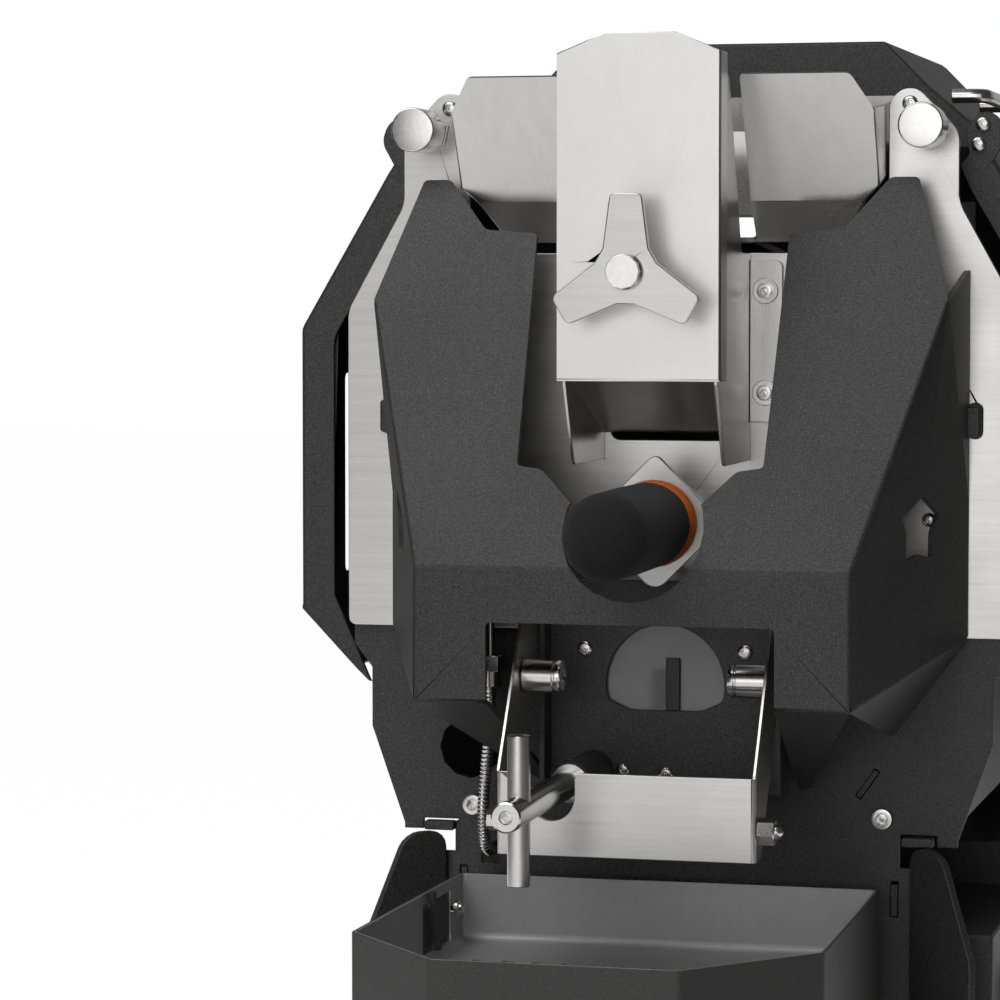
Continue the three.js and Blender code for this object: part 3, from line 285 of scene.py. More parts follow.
@dataclass(frozen=True)
class Finish:
    """What every finish has: a name and the record's slot it stands for.

    The name is never a slot's name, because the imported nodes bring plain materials
    that bear the slots' names, and one of those would be taken for the finish.
    """

    name: str
    slot: str

    def material(self) -> bpy.types.Material:
        """Makes the Blender material on the first call and finds it again later.

        Returns:
            The material.
        """
        found = bpy.data.materials.get(self.name)
        if found:
            return found
        made = bpy.data.materials.new(self.name)
        made.use_nodes = True
        sheet = NodeSheet(made.node_tree)
        place = sheet.add("TexCoord").outputs["Object"]
        shader = sheet.add("BsdfPrincipled")
        self.dress(sheet, shader, place)
        target = sheet.add("OutputMaterial")
        sheet.put(target, "Surface", shader.outputs[0])
        return made

    def dress(self, sheet: NodeSheet, shader: Node, place: Socket) -> None:
        """Sets the shader's sockets; each kind of finish has its own."""
        raise NotImplementedError

    @staticmethod
    def group(sheet: NodeSheet, tree: bpy.types.NodeTree, **inputs: object) -> Node:
        """Adds a node group with its inputs.

        Args:
            sheet: the material's nodes.
            tree: the group.
            **inputs: socket names, and a value or a socket for each.

        Returns:
            The group's node.
        """
        node = sheet.tree.nodes.new("ShaderNodeGroup")
        node.node_tree = tree
        for name, value in inputs.items():
            sheet.put(node, name, value)
        return node

    @staticmethod
    def bump(sheet: NodeSheet, shader: Node, height: Socket, depth: float,
             share: float) -> None:
        """Raises the surface by a height in metres at a share of full strength."""
        node = sheet.add("Bump", Strength=share, Distance=depth, Height=height)
        sheet.put(shader, "Normal", node.outputs[0])


@dataclass(frozen=True)
class Steel(Finish):
    """Bare steel: hairlines along one direction, soft handling marks."""

    colour: Colour
    shade: Colour
    roughness: float
    cycles: Triple
    line: float = 0.1
    depth: float = 0.00003
    strength: float = 0.25
    metallic: float = 1.0
    fine_share: float = 0.6
    band_share: float = 0.4
    middle: float = 0.5
    spread: Pair = (0.3, 0.7)
    cloud_cycles: float = 22.0
    cloud_share: float = 0.5

    def dress(self, sheet: NodeSheet, shader: Node, place: Socket) -> None:
        """Hairlines vary colour, roughness and height; clouds vary roughness.

        Args:
            sheet: the material's nodes.
            shader: its Principled shader.
            place: object coordinates.
        """
        grain = self.group(sheet, EFFECTS.grain(), Place=place, Cycles=self.cycles)
        cloud = self.group(sheet, EFFECTS.clouds(), Place=place, Cycles=self.cloud_cycles)
        mixed = sheet.math("ADD", sheet.math("MULTIPLY", grain.outputs["Line"], self.fine_share),
                           sheet.math("MULTIPLY", grain.outputs["Band"], self.band_share))
        low, high = self.spread
        spread = sheet.add("MapRange", Value=mixed, From_Min=low, From_Max=high)
        sheet.put(shader, "Base Color", sheet.blend(spread.outputs[0], self.shade, self.colour))
        swing = sheet.math("MULTIPLY", sheet.math("SUBTRACT", mixed, self.middle), self.line)
        wiped = sheet.math("MULTIPLY", cloud.outputs["Cloud"], self.line * self.cloud_share)
        rough = sheet.math("ADD", sheet.math("ADD", swing, wiped), self.roughness, clamp=True)
        sheet.put(shader, "Roughness", rough)
        shader.inputs["Metallic"].default_value = self.metallic
        self.bump(sheet, shader, mixed, self.depth, self.strength)


@dataclass(frozen=True)
class PowderCoat(Finish):
    """Baked black powder with fine bumps, painted highlights on the raised grain and painted
    glints.
    """

    colour: Colour
    # high is the colour painted on the raised grain, a painted highlight; the painted glints are a
    # brighter copy of it.
    high: Colour
    roughness: float = 0.5
    cycles: float = 900.0
    depth: float = 0.00006
    strength: float = 0.5
    # Bump heights over which the colour is painted lighter, a painted highlight on the raised
    # grain.
    lift: Pair = (0.35, 0.7)
    # The painted glints: how much brighter than high they are, and how much smoother.
    glint_gain: float = 2.2
    glint_polish: float = -0.15
    cloud_cycles: float = 14.0
    cloud_share: float = 0.06
    specular: float = 0.42

    def dress(self, sheet: NodeSheet, shader: Node, place: Socket) -> None:
        """Raised grain is painted a little lighter, a painted highlight; the painted glints are
        smoother and brighter still.

        Args:
            sheet: the material's nodes.
            shader: its Principled shader.
            place: object coordinates.
        """
        peel = self.group(sheet, EFFECTS.peel(), Place=place, Cycles=self.cycles)
        cloud = self.group(sheet, EFFECTS.clouds(), Place=place, Cycles=self.cloud_cycles)
        # Painted highlight: the higher the bump, the lighter the colour.
        low, high = self.lift
        lift = sheet.add("MapRange", Value=peel.outputs["Height"], From_Min=low, From_Max=high)
        base = sheet.blend(lift.outputs[0], self.colour, self.high)
        # Painted glints: small spots of a brighter colour.
        glint_colour = tuple(min(1.0, self.glint_gain * value) for value in self.high)
        sheet.put(shader, "Base Color", sheet.blend(peel.outputs["Glint"], base, glint_colour))
        soft = sheet.math("MULTIPLY", cloud.outputs["Cloud"], self.cloud_share)
        sharp = sheet.math("MULTIPLY", peel.outputs["Glint"], self.glint_polish)
        rough = sheet.math("ADD", sheet.math("ADD", soft, sharp), self.roughness, clamp=True)
        sheet.put(shader, "Roughness", rough)
        shader.inputs["Specular IOR Level"].default_value = self.specular
        self.bump(sheet, shader, peel.outputs["Height"], self.depth, self.strength)


@dataclass(frozen=True)
class Foam(Finish):
    """Closed-cell foam: matt, with fine open pores."""

    colour: Colour
    high: Colour
    pore_cycles: float = 1300.0
    skin_cycles: float = 380.0
    pore_shade_and_depth: float = 0.5
    skin_share: float = 0.6
    roughness: float = 0.85
    swing: float = 0.1
    specular: float = 0.2
    sheen: float = 0.08
    sheen_roughness: float = 0.6
    depth: float = 0.0002
    strength: float = 0.7

    def dress(self, sheet: NodeSheet, shader: Node, place: Socket) -> None:
        """Pores lie lower than the skin between them and are painted darker, painted shade inside
        them; the skin noise varies the tone at random.

        Args:
            sheet: the material's nodes.
            shader: its Principled shader.
            place: object coordinates.
        """
        pores = sheet.add("TexVoronoi", {"feature": "F1"}, Vector=place, Scale=self.pore_cycles)
        skin = sheet.add("TexNoise", Vector=place, Scale=self.skin_cycles, Detail=4.0,
                         Roughness=0.65)
        # Near the pore centres the colour goes dark: painted shade in the pores, mixed with random
        # skin tone.
        mixed = sheet.math("ADD",
                           sheet.math("MULTIPLY", pores.outputs["Distance"], self.pore_shade_and_depth),
                           sheet.math("MULTIPLY", skin.outputs[0], self.skin_share))
        sheet.put(shader, "Base Color", sheet.blend(mixed, self.colour, self.high))
        rough = sheet.math("ADD", sheet.math("MULTIPLY", skin.outputs[0], self.swing),
                           self.roughness, clamp=True)
        sheet.put(shader, "Roughness", rough)
        shader.inputs["Specular IOR Level"].default_value = self.specular
        shader.inputs["Sheen Weight"].default_value = self.sheen
        shader.inputs["Sheen Roughness"].default_value = self.sheen_roughness
        self.bump(sheet, shader, mixed, self.depth, self.strength)


@dataclass(frozen=True)
class Moulded(Finish):
    """Moulded plastic, rubber or silicone with a fine matt texture."""

    colour: Colour
    high: Colour
    roughness: float = 0.5
    cycles: float = 1400.0
    strength: float = 0.2
    specular: float = 0.5
    cloud_cycles: float = 40.0
    cloud_share: float = 0.08
    depth: float = 0.00005

    def dress(self, sheet: NodeSheet, shader: Node, place: Socket) -> None:
        """Fine noise for the mould's grain and broad noise for colour.

        Args:
            sheet: the material's nodes.
            shader: its Principled shader.
            place: object coordinates.
        """
        fine = sheet.add("TexNoise", Vector=place, Scale=self.cycles, Detail=2.0, Roughness=0.5)
        cloud = self.group(sheet, EFFECTS.clouds(), Place=place, Cycles=self.cloud_cycles)
        both = sheet.math("ADD", fine.outputs[0], cloud.outputs["Cloud"])
        share = sheet.math("MULTIPLY", both, 0.5)
        sheet.put(shader, "Base Color", sheet.blend(share, self.colour, self.high))
        wiped = sheet.math("MULTIPLY", cloud.outputs["Cloud"], self.cloud_share)
        sheet.put(shader, "Roughness", sheet.math("ADD", wiped, self.roughness, clamp=True))
        shader.inputs["Specular IOR Level"].default_value = self.specular
        self.bump(sheet, shader, fine.outputs[0], self.depth, self.strength)


@dataclass(frozen=True)
class Glass(Finish):
    """Heat-resistant pane, faintly smoky from roasting."""

    colour: Colour
    smoke: float = 0.88
    roughness: float = 0.06
    cloud_cycles: float = 60.0
    cloud_share: float = 0.05
    bending: float = 1.5
    clearness: float = 0.25

    def dress(self, sheet: NodeSheet, shader: Node, place: Socket) -> None:
        """A thin film of smoke makes the pane slightly rough and grey.

        Args:
            sheet: the material's nodes.
            shader: its Principled shader.
            place: object coordinates.
        """
        cloud = self.group(sheet, EFFECTS.clouds(), Place=place, Cycles=self.cloud_cycles)
        mask = cloud.outputs["Cloud"]
        smoky = tuple(self.smoke * value for value in self.colour)
        sheet.put(shader, "Base Color", sheet.blend(mask, self.colour, smoky))
        film = sheet.math("MULTIPLY", mask, self.cloud_share)
        sheet.put(shader, "Roughness", sheet.math("ADD", film, self.roughness))
        shader.inputs["Metallic"].default_value = 0.0
        shader.inputs["IOR"].default_value = self.bending
        shader.inputs["Transmission Weight"].default_value = self.clearness


class Look(Enum):
    """The finishes of this roaster."""

    PLATE = Steel("brushed_plate", "brushed_steel_sheet", (0.7, 0.69, 0.67), (0.56, 0.55, 0.53),
                  0.3, (60.0, 60.0, 3600.0), 0.16, 0.00004, 0.35)
    SHEET = Steel("rolled_sheet", "brushed_steel_sheet", (0.62, 0.61, 0.59), (0.53, 0.52, 0.5),
                  0.27, (1500.0, 1500.0, 90.0), 0.08, 0.00002, 0.2)
    SATIN = Steel("satin_cover", "satin_steel", (0.8, 0.79, 0.77), (0.73, 0.72, 0.7),
                  0.36, (1100.0, 1100.0, 600.0), 0.05, 0.00001, 0.12)
    TURNED = Steel("bright_turning", "turned_steel", (0.68, 0.67, 0.65), (0.56, 0.55, 0.53),
                   0.18, (500.0, 2600.0, 500.0), 0.1, 0.00001, 0.12)
    SCREW = Steel("zinc_screws", "turned_steel", (0.7, 0.69, 0.67), (0.55, 0.54, 0.52),
                  0.22, (900.0, 900.0, 900.0), 0.12, 0.00001, 0.15)
    DRUM = Steel("heated_steel", "drum_steel", (0.45, 0.42, 0.38), (0.3, 0.27, 0.23),
                 0.4, (300.0, 1400.0, 300.0), 0.12, 0.00003, 0.25)
    TRAY = Steel("bare_tray_sheet", "tray_steel", (0.5, 0.5, 0.5), (0.42, 0.42, 0.42),
                 0.52, (1300.0, 1300.0, 1300.0), 0.1, 0.00002, 0.35, 0.6)
    ZINC = Steel("dull_zinc", "zinc_plate", (0.55, 0.55, 0.56), (0.42, 0.42, 0.44),
                 0.42, (400.0, 400.0, 400.0), 0.14, 0.00002, 0.2)
    # In both powder coats the second colour is the painted highlight on the raised grain, and the
    # painted glints are brighter still.
    BLACK = PowderCoat("black_powder", "black_coat", (0.024, 0.0235, 0.0235),
                       (0.09, 0.088, 0.087), 0.47, 2000.0, 0.0001, 0.7)
    TRAY_BLACK = PowderCoat("tray_powder", "tray_steel", (0.055, 0.054, 0.053),
                            (0.085, 0.083, 0.082), 0.55, 1800.0, 0.00004, 0.4)
    # The grip's darker colour is painted shade in the pores.
    GRIP = Foam("grip_foam", "foam_rubber", (0.008, 0.008, 0.008), (0.035, 0.035, 0.035))
    ORANGE = Moulded("soft_orange", "orange_silicone", (0.95, 0.15, 0.008), (1.0, 0.26, 0.02),
                     0.42, 900.0, 0.15)
    PLASTIC = Moulded("black_plastic", "dark_plastic", (0.012, 0.012, 0.012),
                      (0.025, 0.025, 0.025), 0.45)
    RUBBER = Moulded("matt_rubber", "foot_rubber", (0.01, 0.01, 0.01), (0.022, 0.022, 0.022),
                     0.75, 700.0, 0.4, 0.3)
    QUARTZ = Moulded("heater_quartz", "quartz_tube", (0.7, 0.68, 0.64), (0.82, 0.8, 0.76),
                     0.3, 500.0, 0.1)
    GLASS = Glass("sight_pane", "sight_glass", (0.42, 0.42, 0.425))


# ---- Shapes ---------------------------------------------------------------------------


def lathe(rows: Rows, sides: int) -> Grid:
    """Surface of a turned piece whose cross-section may be part hexagon.

    The point at angle a and row i is at the row's height, and its distance from the axis
    is r (1 - k + c k cos 30 / cos((a mod 60) - 30)) with c = 1.0774. So k = 0 gives a
    circle of radius r, and k = 1 a hexagon whose corners lie at c r and whose flats lie
    at c r cos 30, one about as far outside the circle as the other is inside it.

    Args:
        rows: (r, height, k) in millimetres along the profile, from one end on the axis
            to the other.
        sides: number of points round the axis.

    Returns:
        Points in millimetres with the axis along +Z, and faces that point outwards
        where the heights fall from the first row to the last.
    """
    radius, height, share = np.array(rows, float).T[:, :, None]
    turn = np.linspace(0.0, 2.0 * math.pi, sides, endpoint=False)[None, :]
    sector = np.mod(turn, math.pi / 3.0) - math.pi / 6.0
    hexagon = share / np.cos(sector) * math.cos(math.pi / 6.0) * HEX_CORNER
    reach = radius * (1.0 - share + hexagon)
    points = np.stack([reach * np.cos(turn), reach * np.sin(turn), height + 0.0 * turn], axis=-1)
    return closed_rings(points)


def closed_rings(points: np.ndarray) -> Grid:
    """Joins rows of ring points into a skin, and closes both ends with one flat face each.

    Args:
        points: an array of rows by points round by 3.

    Returns:
        The flat list of points and the faces.
    """
    rows, round_count = points.shape[:2]
    index = np.arange(rows * round_count).reshape(rows, round_count)
    following = np.roll(index, -1, axis=1)
    quads = np.stack([index[:-1], index[1:], following[1:], following[:-1]], axis=-1)
    faces = [tuple(q) for q in quads.reshape(-1, 4).tolist()]
    faces.append(tuple(index[0].tolist()))
    faces.append(tuple(index[-1, ::-1].tolist()))
    return points.reshape(-1, 3), faces


def swept(path: np.ndarray, radii: np.ndarray, side: np.ndarray, round_count: int) -> Grid:
    """Round tube along a path: each point is the path's point plus the row's radius
    times cos a along one cross direction and sin a along the other, where the cross
    directions are made square to the path from a fixed side direction.

    Args:
        path: points of the centre line, in millimetres.
        radii: the tube's radius at each point.
        side: a direction that is nowhere along the path.
        round_count: number of points round the tube.

    Returns:
        The flat list of points and the faces.
    """
    ahead = np.gradient(path, axis=0)
    ahead /= np.linalg.norm(ahead, axis=1, keepdims=True)
    first = np.cross(ahead, side)
    first /= np.linalg.norm(first, axis=1, keepdims=True)
    second = np.cross(ahead, first)
    turn = np.linspace(0.0, -2.0 * math.pi, round_count, endpoint=False)[None, :, None]
    ring = first[:, None, :] * np.cos(turn) + second[:, None, :] * np.sin(turn)
    return closed_rings(path[:, None, :] + radii[:, None, None] * ring)


def smooth_path(corners: Rows, count: int, steps: int = 24) -> np.ndarray:
    """Evenly spaced points on a smooth curve through the corners, the curve being the
    cubic whose direction at each corner is half the step between its neighbours.

    Args:
        corners: points in millimetres.
        count: number of points to return.
        steps: points worked out between two corners, before they are spaced evenly.

    Returns:
        An array of count by 3.
    """
    p = np.array(corners, float)
    padded = np.vstack([2 * p[0] - p[1], p, 2 * p[-1] - p[-2]])
    t = np.linspace(0.0, 1.0, steps, endpoint=False)[None, :, None]
    a, b, c, d = (padded[i:len(p) - 1 + i, None, :] for i in range(4))
    square = (2 * a - 5 * b + 4 * c - d) * t**2
    dense = 0.5 * (2 * b + (c - a) * t + square + (3 * b - a - 3 * c + d) * t**3)
    dense = np.vstack([dense.reshape(-1, 3), p[-1:]])
    run = np.concatenate([[0.0], np.cumsum(np.linalg.norm(np.diff(dense, axis=0), axis=1))])
    even = np.linspace(0.0, run[-1], count)
    return np.stack([np.interp(even, run, dense[:, k]) for k in range(3)], axis=-1)


def aimed(grid: Grid, origin: Triple, axis: Axis, spin: float = 0.0) -> Grid:
    """Turns a shape made along +Z to point along an axis, and moves its origin.

    Args:
        grid: points and faces.
        origin: where its origin goes, in millimetres.
        axis: where its +Z goes.
        spin: turn about its own axis before that, in degrees.

    Returns:
        The placed points and the faces.
    """
    points, faces = grid
    c, s = math.cos(math.radians(spin)), math.sin(math.radians(spin))
    spun = points @ np.array([[c, s, 0.0], [-s, c, 0.0], [0.0, 0.0, 1.0]])
    turn = np.array(Vector(axis.value).to_track_quat("Z", "Y").to_matrix())
    return spun @ turn.T + np.array(origin), faces


def joined(grids: list[Grid]) -> Grid:
    """Puts several shapes into one list of points and faces.

    Args:
        grids: the shapes.

    Returns:
        All points one after another, and the faces with their numbers moved on.
    """
    points, faces, count = [], [], 0
    for some, loops in grids:
        points.append(some)
        faces.extend(tuple(i + count for i in loop) for loop in loops)
        count += len(some)
    return np.vstack(points), faces


def working(points: np.ndarray, edges: list[list[int]],
            faces: list[tuple[int, ...]]) -> bmesh.types.BMesh:
    """Puts whole arrays into a working mesh, by way of a plain mesh.

    Args:
        points: an array by 3, in millimetres.
        edges: two point numbers for each edge that no face brings.
        faces: the point numbers of each face.

    Returns:
        The working mesh.
    """
    mesh = bpy.data.meshes.new("working")
    mesh.from_pydata(points.tolist(), edges, faces)
    work = bmesh.new()
    work.from_mesh(mesh)
    bpy.data.meshes.remove(mesh)
    return work


def grid_of(work: bmesh.types.BMesh) -> Grid:
    """Takes the points and faces out of a working mesh as whole arrays, and frees it.

    Args:
        work: the working mesh, which can't be used afterwards.

    Returns:
        Its points and faces.
    """
    mesh = bpy.data.meshes.new("working")
    work.to_mesh(mesh)
    work.free()
    points = np.empty(3 * len(mesh.vertices), np.float32)
    corners = np.empty(len(mesh.loops), np.int32)
    starts = np.empty(len(mesh.polygons), np.int32)
    mesh.vertices.foreach_get("co", points)
    mesh.loops.foreach_get("vertex_index", corners)
    mesh.polygons.foreach_get("loop_start", starts)
    bpy.data.meshes.remove(mesh)
    faces = [tuple(loop.tolist()) for loop in np.split(corners, starts[1:])]
    return points.reshape(-1, 3).astype(float), faces


def button_head(radius: float, height: float, socket: float) -> Grid:
    """Domed screw head: a quarter ellipse outside and a six-sided well inside.

    Args:
        radius: of the head.
        height: of the head.
        socket: half the well's width.

    Returns:
        The head, seated at height 0.
    """
    turn = np.linspace(0.0, 1.0, 7) * math.pi / 2
    lip = socket * 1.12
    dome = [(lip + (radius - lip) * math.sin(a), height * (0.25 + 0.75 * math.cos(a)), 0.0)
            for a in turn]
    well = [(CORE, height * 0.42, 1.0), (socket * 0.9, height * 0.36, 1.0),
            (socket * 0.96, height * 0.92, 1.0), (socket * 1.04, height, 0.6)]
    return lathe(well + dome + [(radius, 0.0, 0.0)], SCREW_SIDES)


def cap_head(radius: float, height: float, socket: float) -> Grid:
    """Cylinder screw head with a hexagon socket and a small bevel round its top.

    Args:
        radius: of the head.
        height: of the head.
        socket: half the well's width.

    Returns:
        The head, seated at height 0.
    """
    bevel = radius * 0.08
    well = [(CORE, height * 0.45, 1.0), (socket * 0.9, height * 0.4, 1.0),
            (socket * 0.95, height * 0.94, 1.0), (socket * 1.03, height, 0.7)]
    rim = [(radius - 2 * bevel, height, 0.0), (radius - bevel * 0.4, height - bevel * 0.4, 0.0),
           (radius, height - 2 * bevel, 0.0), (radius, 0.0, 0.0)]
    return lathe(well + rim, SCREW_SIDES)


def washer(radius: float, hole: float, height: float) -> Grid:
    """Flat ring: a small rectangle with softened corners, closed under the head.

    Args:
        radius: of the ring.
        hole: radius at which its top begins.
        height: of the ring.

    Returns:
        The ring, seated at height 0.
    """
    soft = height * 0.3
    rows = [(hole * 0.5, height * 0.9, 0.0), (hole, height * 0.9, 0.0),
            (hole + soft, height, 0.0), (radius - soft, height, 0.0),
            (radius, height - soft, 0.0), (radius, 0.0, 0.0)]
    return lathe(rows, SCREW_SIDES)


def hex_nut(flat: float, height: float, bore: float, dome: float = 0.0) -> Grid:
    """Hexagon nut with chamfered corners, and a domed cap where dome is above zero.

    Args:
        flat: half its width.
        height: of the hexagon.
        bore: radius of the bore or of the cap.
        dome: height of the cap above the hexagon.

    Returns:
        The nut, seated at height 0.
    """
    rows = [(bore * 0.5, height * 0.7, 0.0), (bore, height, 0.0)]
    if dome > 0.0:
        turn = np.linspace(0.0, math.pi / 2, 6)
        rows = [(bore * math.sin(a) + CORE, height + dome * math.cos(a), 0.0) for a in turn]
    rows += [(flat * 0.94, height, 0.0), (flat * 1.0, height - 0.07 * flat, 0.6),
             (flat, height - 0.14 * flat, 1.0), (flat, 0.0, 1.0)]
    return lathe(rows, SCREW_SIDES)


def rounded_plan(corners: np.ndarray, inset: float, rounding: float, steps: int = 4) -> np.ndarray:
    """Outline of a flat shape moved inwards, with an arc in each corner.

    With the inward unit normals n and m of the two sides that meet at corner P, inset d and
    rounding r, the arc's points are P + (d + r)(n + m) / (1 + n.m) - r w, where w turns
    evenly from n to m.

    Args:
        corners: corner points, counter-clockwise, in millimetres.
        inset: how far the outline moves inwards.
        rounding: the arcs' radius.
        steps: points along each arc.

    Returns:
        An array of points by 2.
    """
    side = np.roll(corners, -1, axis=0) - corners
    side /= np.linalg.norm(side, axis=1, keepdims=True)
    after = np.stack([-side[:, 1], side[:, 0]], axis=1)
    before = np.roll(after, 1, axis=0)
    cosine = np.sum(before * after, axis=1, keepdims=True)
    angle = np.arccos(np.clip(cosine, -1.0, 1.0))
    middle = corners + (inset + rounding) * (before + after) / (1.0 + cosine)
    share = np.linspace(0.0, 1.0, steps)[None, :, None]
    turned = (np.sin((1.0 - share) * angle[:, None]) * before[:, None]
              + np.sin(share * angle[:, None]) * after[:, None])
    return (middle[:, None] - rounding * turned / np.sin(angle)[:, None]).reshape(-1, 2)


def stacked(corners: np.ndarray, rows: list[Pair], rounding: float,
            least: float = 0.4) -> np.ndarray:
    """Rings of one outline, each moved inwards and lifted to its own height.

    Args:
        corners: the outline's corners, counter-clockwise.
        rows: (inset, height) of each ring in millimetres.
        rounding: the corners' radius on the outermost ring.
        least: the smallest radius on the others.

    Returns:
        An array of rows by points by 3.
    """
    plans = [rounded_plan(corners, inset, max(rounding - inset, least)) for inset, _ in rows]
    return np.stack([np.column_stack([plan, np.full(len(plan), height)])
                     for plan, (_, height) in zip(plans, rows)])


def slab(size: Triple, soft: float) -> Grid:
    """Box with rounded edges, centred on its origin.

    Args:
        size: along X, Y and Z.
        soft: the edges' rounding.

    Returns:
        The box.
    """
    x, y, z = (0.5 * value for value in size)
    corners = np.array([[-x, -y], [x, -y], [x, y], [-x, y]])
    shoulder = 0.3 * soft
    rows = [(soft, z), (shoulder, z - shoulder), (0.0, z - soft), (0.0, soft - z),
            (shoulder, shoulder - z), (soft, -z)]
    return closed_rings(stacked(corners, rows, 1.4 * soft))


# ---- Making and dressing pieces ----------------------------------------------------------


@dataclass
class Workshop:
    """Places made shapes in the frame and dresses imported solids.

    Angles are in degrees, and lengths in millimetres but for shift, lift, weld and scrap,
    which are in metres.
    """

    frame: dict
    shift: float = 0.0
    lift: float = 0.0
    plate_sheet: float = 2.0
    crease: float = 32.0
    weld: float = 3e-6
    scrap: float = 2e-5
    level: float = 0.5
    border: float = 3.3
    panel: float = 3.2
    outline_edge: Pair = (0.8, 3.3)
    outline_bend: float = 24.0
    outline_share: float = 0.42
    least_corner: float = 0.3
    panel_crease: float = 8.0
    border_crease: float = 28.0
    panel_bend: float = 20.0
    edge_share: float = 0.3
    edge_spare: float = 0.05
    screw_turn: Pair = (17.0, 41.0)

    def __post_init__(self) -> None:
        """Finds the head's datum: the stainless plate's front face and lower edge."""
        low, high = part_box("front_plate")
        self.shift = high.y - self.plate_sheet * MM
        self.lift = low.z

    def place(self, name: str, grid: Grid, look: Look, body: str,
              base: bool = False) -> bpy.types.Object:
        """Makes one piece from points in millimetres measured from the head's datum.

        Args:
            name: the piece's name.
            grid: points and faces.
            look: its finish.
            body: the body it moves with.
            base: True where heights are measured from the desk.

        Returns:
            The new object.
        """
        points, faces = grid
        moved = points * MM + np.array([0.0, self.shift, 0.0 if base else self.lift])
        mesh = bpy.data.meshes.new(name)
        mesh.from_pydata(moved.tolist(), [], faces)
        mesh.update()
        mesh.shade_smooth()
        mesh.set_sharp_from_angle(angle=math.radians(self.crease))
        piece = self.finish(name, mesh, look, body)
        self.levelled(piece)
        return piece

    @staticmethod
    def levelled(piece: bpy.types.Object) -> None:
        """Shades flat faces flat, with the bend's shading kept to the bend."""
        level = piece.modifiers.new("level_faces", "WEIGHTED_NORMAL")
        level.keep_sharp = True

    def finish(self, name: str, mesh: bpy.types.Mesh, look: Look, body: str) -> bpy.types.Object:
        """Links a mesh as a piece, gives it its finish and lets it ride on its body.

        Args:
            name: the piece's name.
            mesh: its mesh.
            look: its finish.
            body: the body it moves with.

        Returns:
            The new object.
        """
        piece = bpy.data.objects.new(name, mesh)
        bpy.context.scene.collection.objects.link(piece)
        mesh.materials.clear()
        mesh.materials.append(look.value.material())
        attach(piece, body)
        LOG.info("piece %s: %d faces on %s", name, len(mesh.polygons), body)
        return piece

    def body_of(self, node: str) -> str:
        """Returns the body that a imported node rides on."""
        return self.frame["nodes"][node]["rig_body"]

    def round_outline(self, work: bmesh.types.BMesh, corner: float) -> None:
        """Rounds the outline corners of a sheet, which are short edges between two borders.

        The corners are sorted into steps of half a millimetre by the rounding that their
        borders leave room for, and the largest are rounded first.

        Args:
            work: the solid.
            corner: largest rounding, in millimetres; short borders get less.
        """
        shortest, longest = (value * MM for value in self.outline_edge)
        groups: dict[int, list[bmesh.types.BMEdge]] = {}
        for line in work.edges:
            if len(line.link_faces) != 2 or not shortest < line.calc_length() < longest:
                continue
            if abs(line.calc_face_angle_signed(0.0)) < math.radians(self.outline_bend):
                continue
            lengths = [max(e.calc_length() for e in face.edges) for face in line.link_faces]
            widths = [face.calc_area() / reach for face, reach in zip(line.link_faces, lengths)]
            if max(widths) > self.border * MM:
                continue
            radius = min(corner, self.outline_share * min(lengths) / MM)
            if radius > self.least_corner:
                groups.setdefault(round(radius * 2.0), []).append(line)
        for step in sorted(groups, reverse=True):
            alive = [line for line in groups[step] if line.is_valid]
            bmesh.ops.bevel(work, geom=alive, offset=max(step, 1) * 0.5 * MM,
                            offset_type="OFFSET", segments=4, profile=0.5, affect="EDGES",
                            clamp_overlap=True)

    def merged(self, work: bmesh.types.BMesh) -> None:
        """Dissolves the lines between faces that lie in one plane."""
        bmesh.ops.dissolve_limit(work, angle_limit=math.radians(self.level), verts=work.verts,
                                 edges=work.edges)

    def weigh(self, work: bmesh.types.BMesh, roundings: Triple, outlined: bool) -> None:
        """Marks each edge smooth or sharp, and stores how much of the bevel it gets.

        Args:
            work: the solid, with each face's breadth in its layer.
            roundings: of borders, of folds outside and of folds inside.
            outlined: True where the outline's corners were rounded.
        """
        edge, fold, inner = roundings
        breadth = work.faces.layers.float["breadth"]
        layer = work.edges.layers.float.new("bevel_weight_edge")
        for line in work.edges:
            if len(line.link_faces) != 2:
                continue
            bend = math.degrees(line.calc_face_angle_signed(0.0))
            widths = [face[breadth] for face in line.link_faces]
            between_panels = min(widths) > self.panel * MM
            crease = self.panel_crease if outlined and between_panels else self.border_crease
            line.smooth = abs(bend) < crease
            least = self.border_crease if max(widths) < self.border * MM else self.panel_bend
            if abs(bend) < least:
                continue
            wanted = edge
            if between_panels:
                wanted = fold if bend > 0.0 else inner
            most = self.edge_share * line.calc_length() / MM + self.edge_spare
            line[layer] = min(wanted, most) / max(roundings)

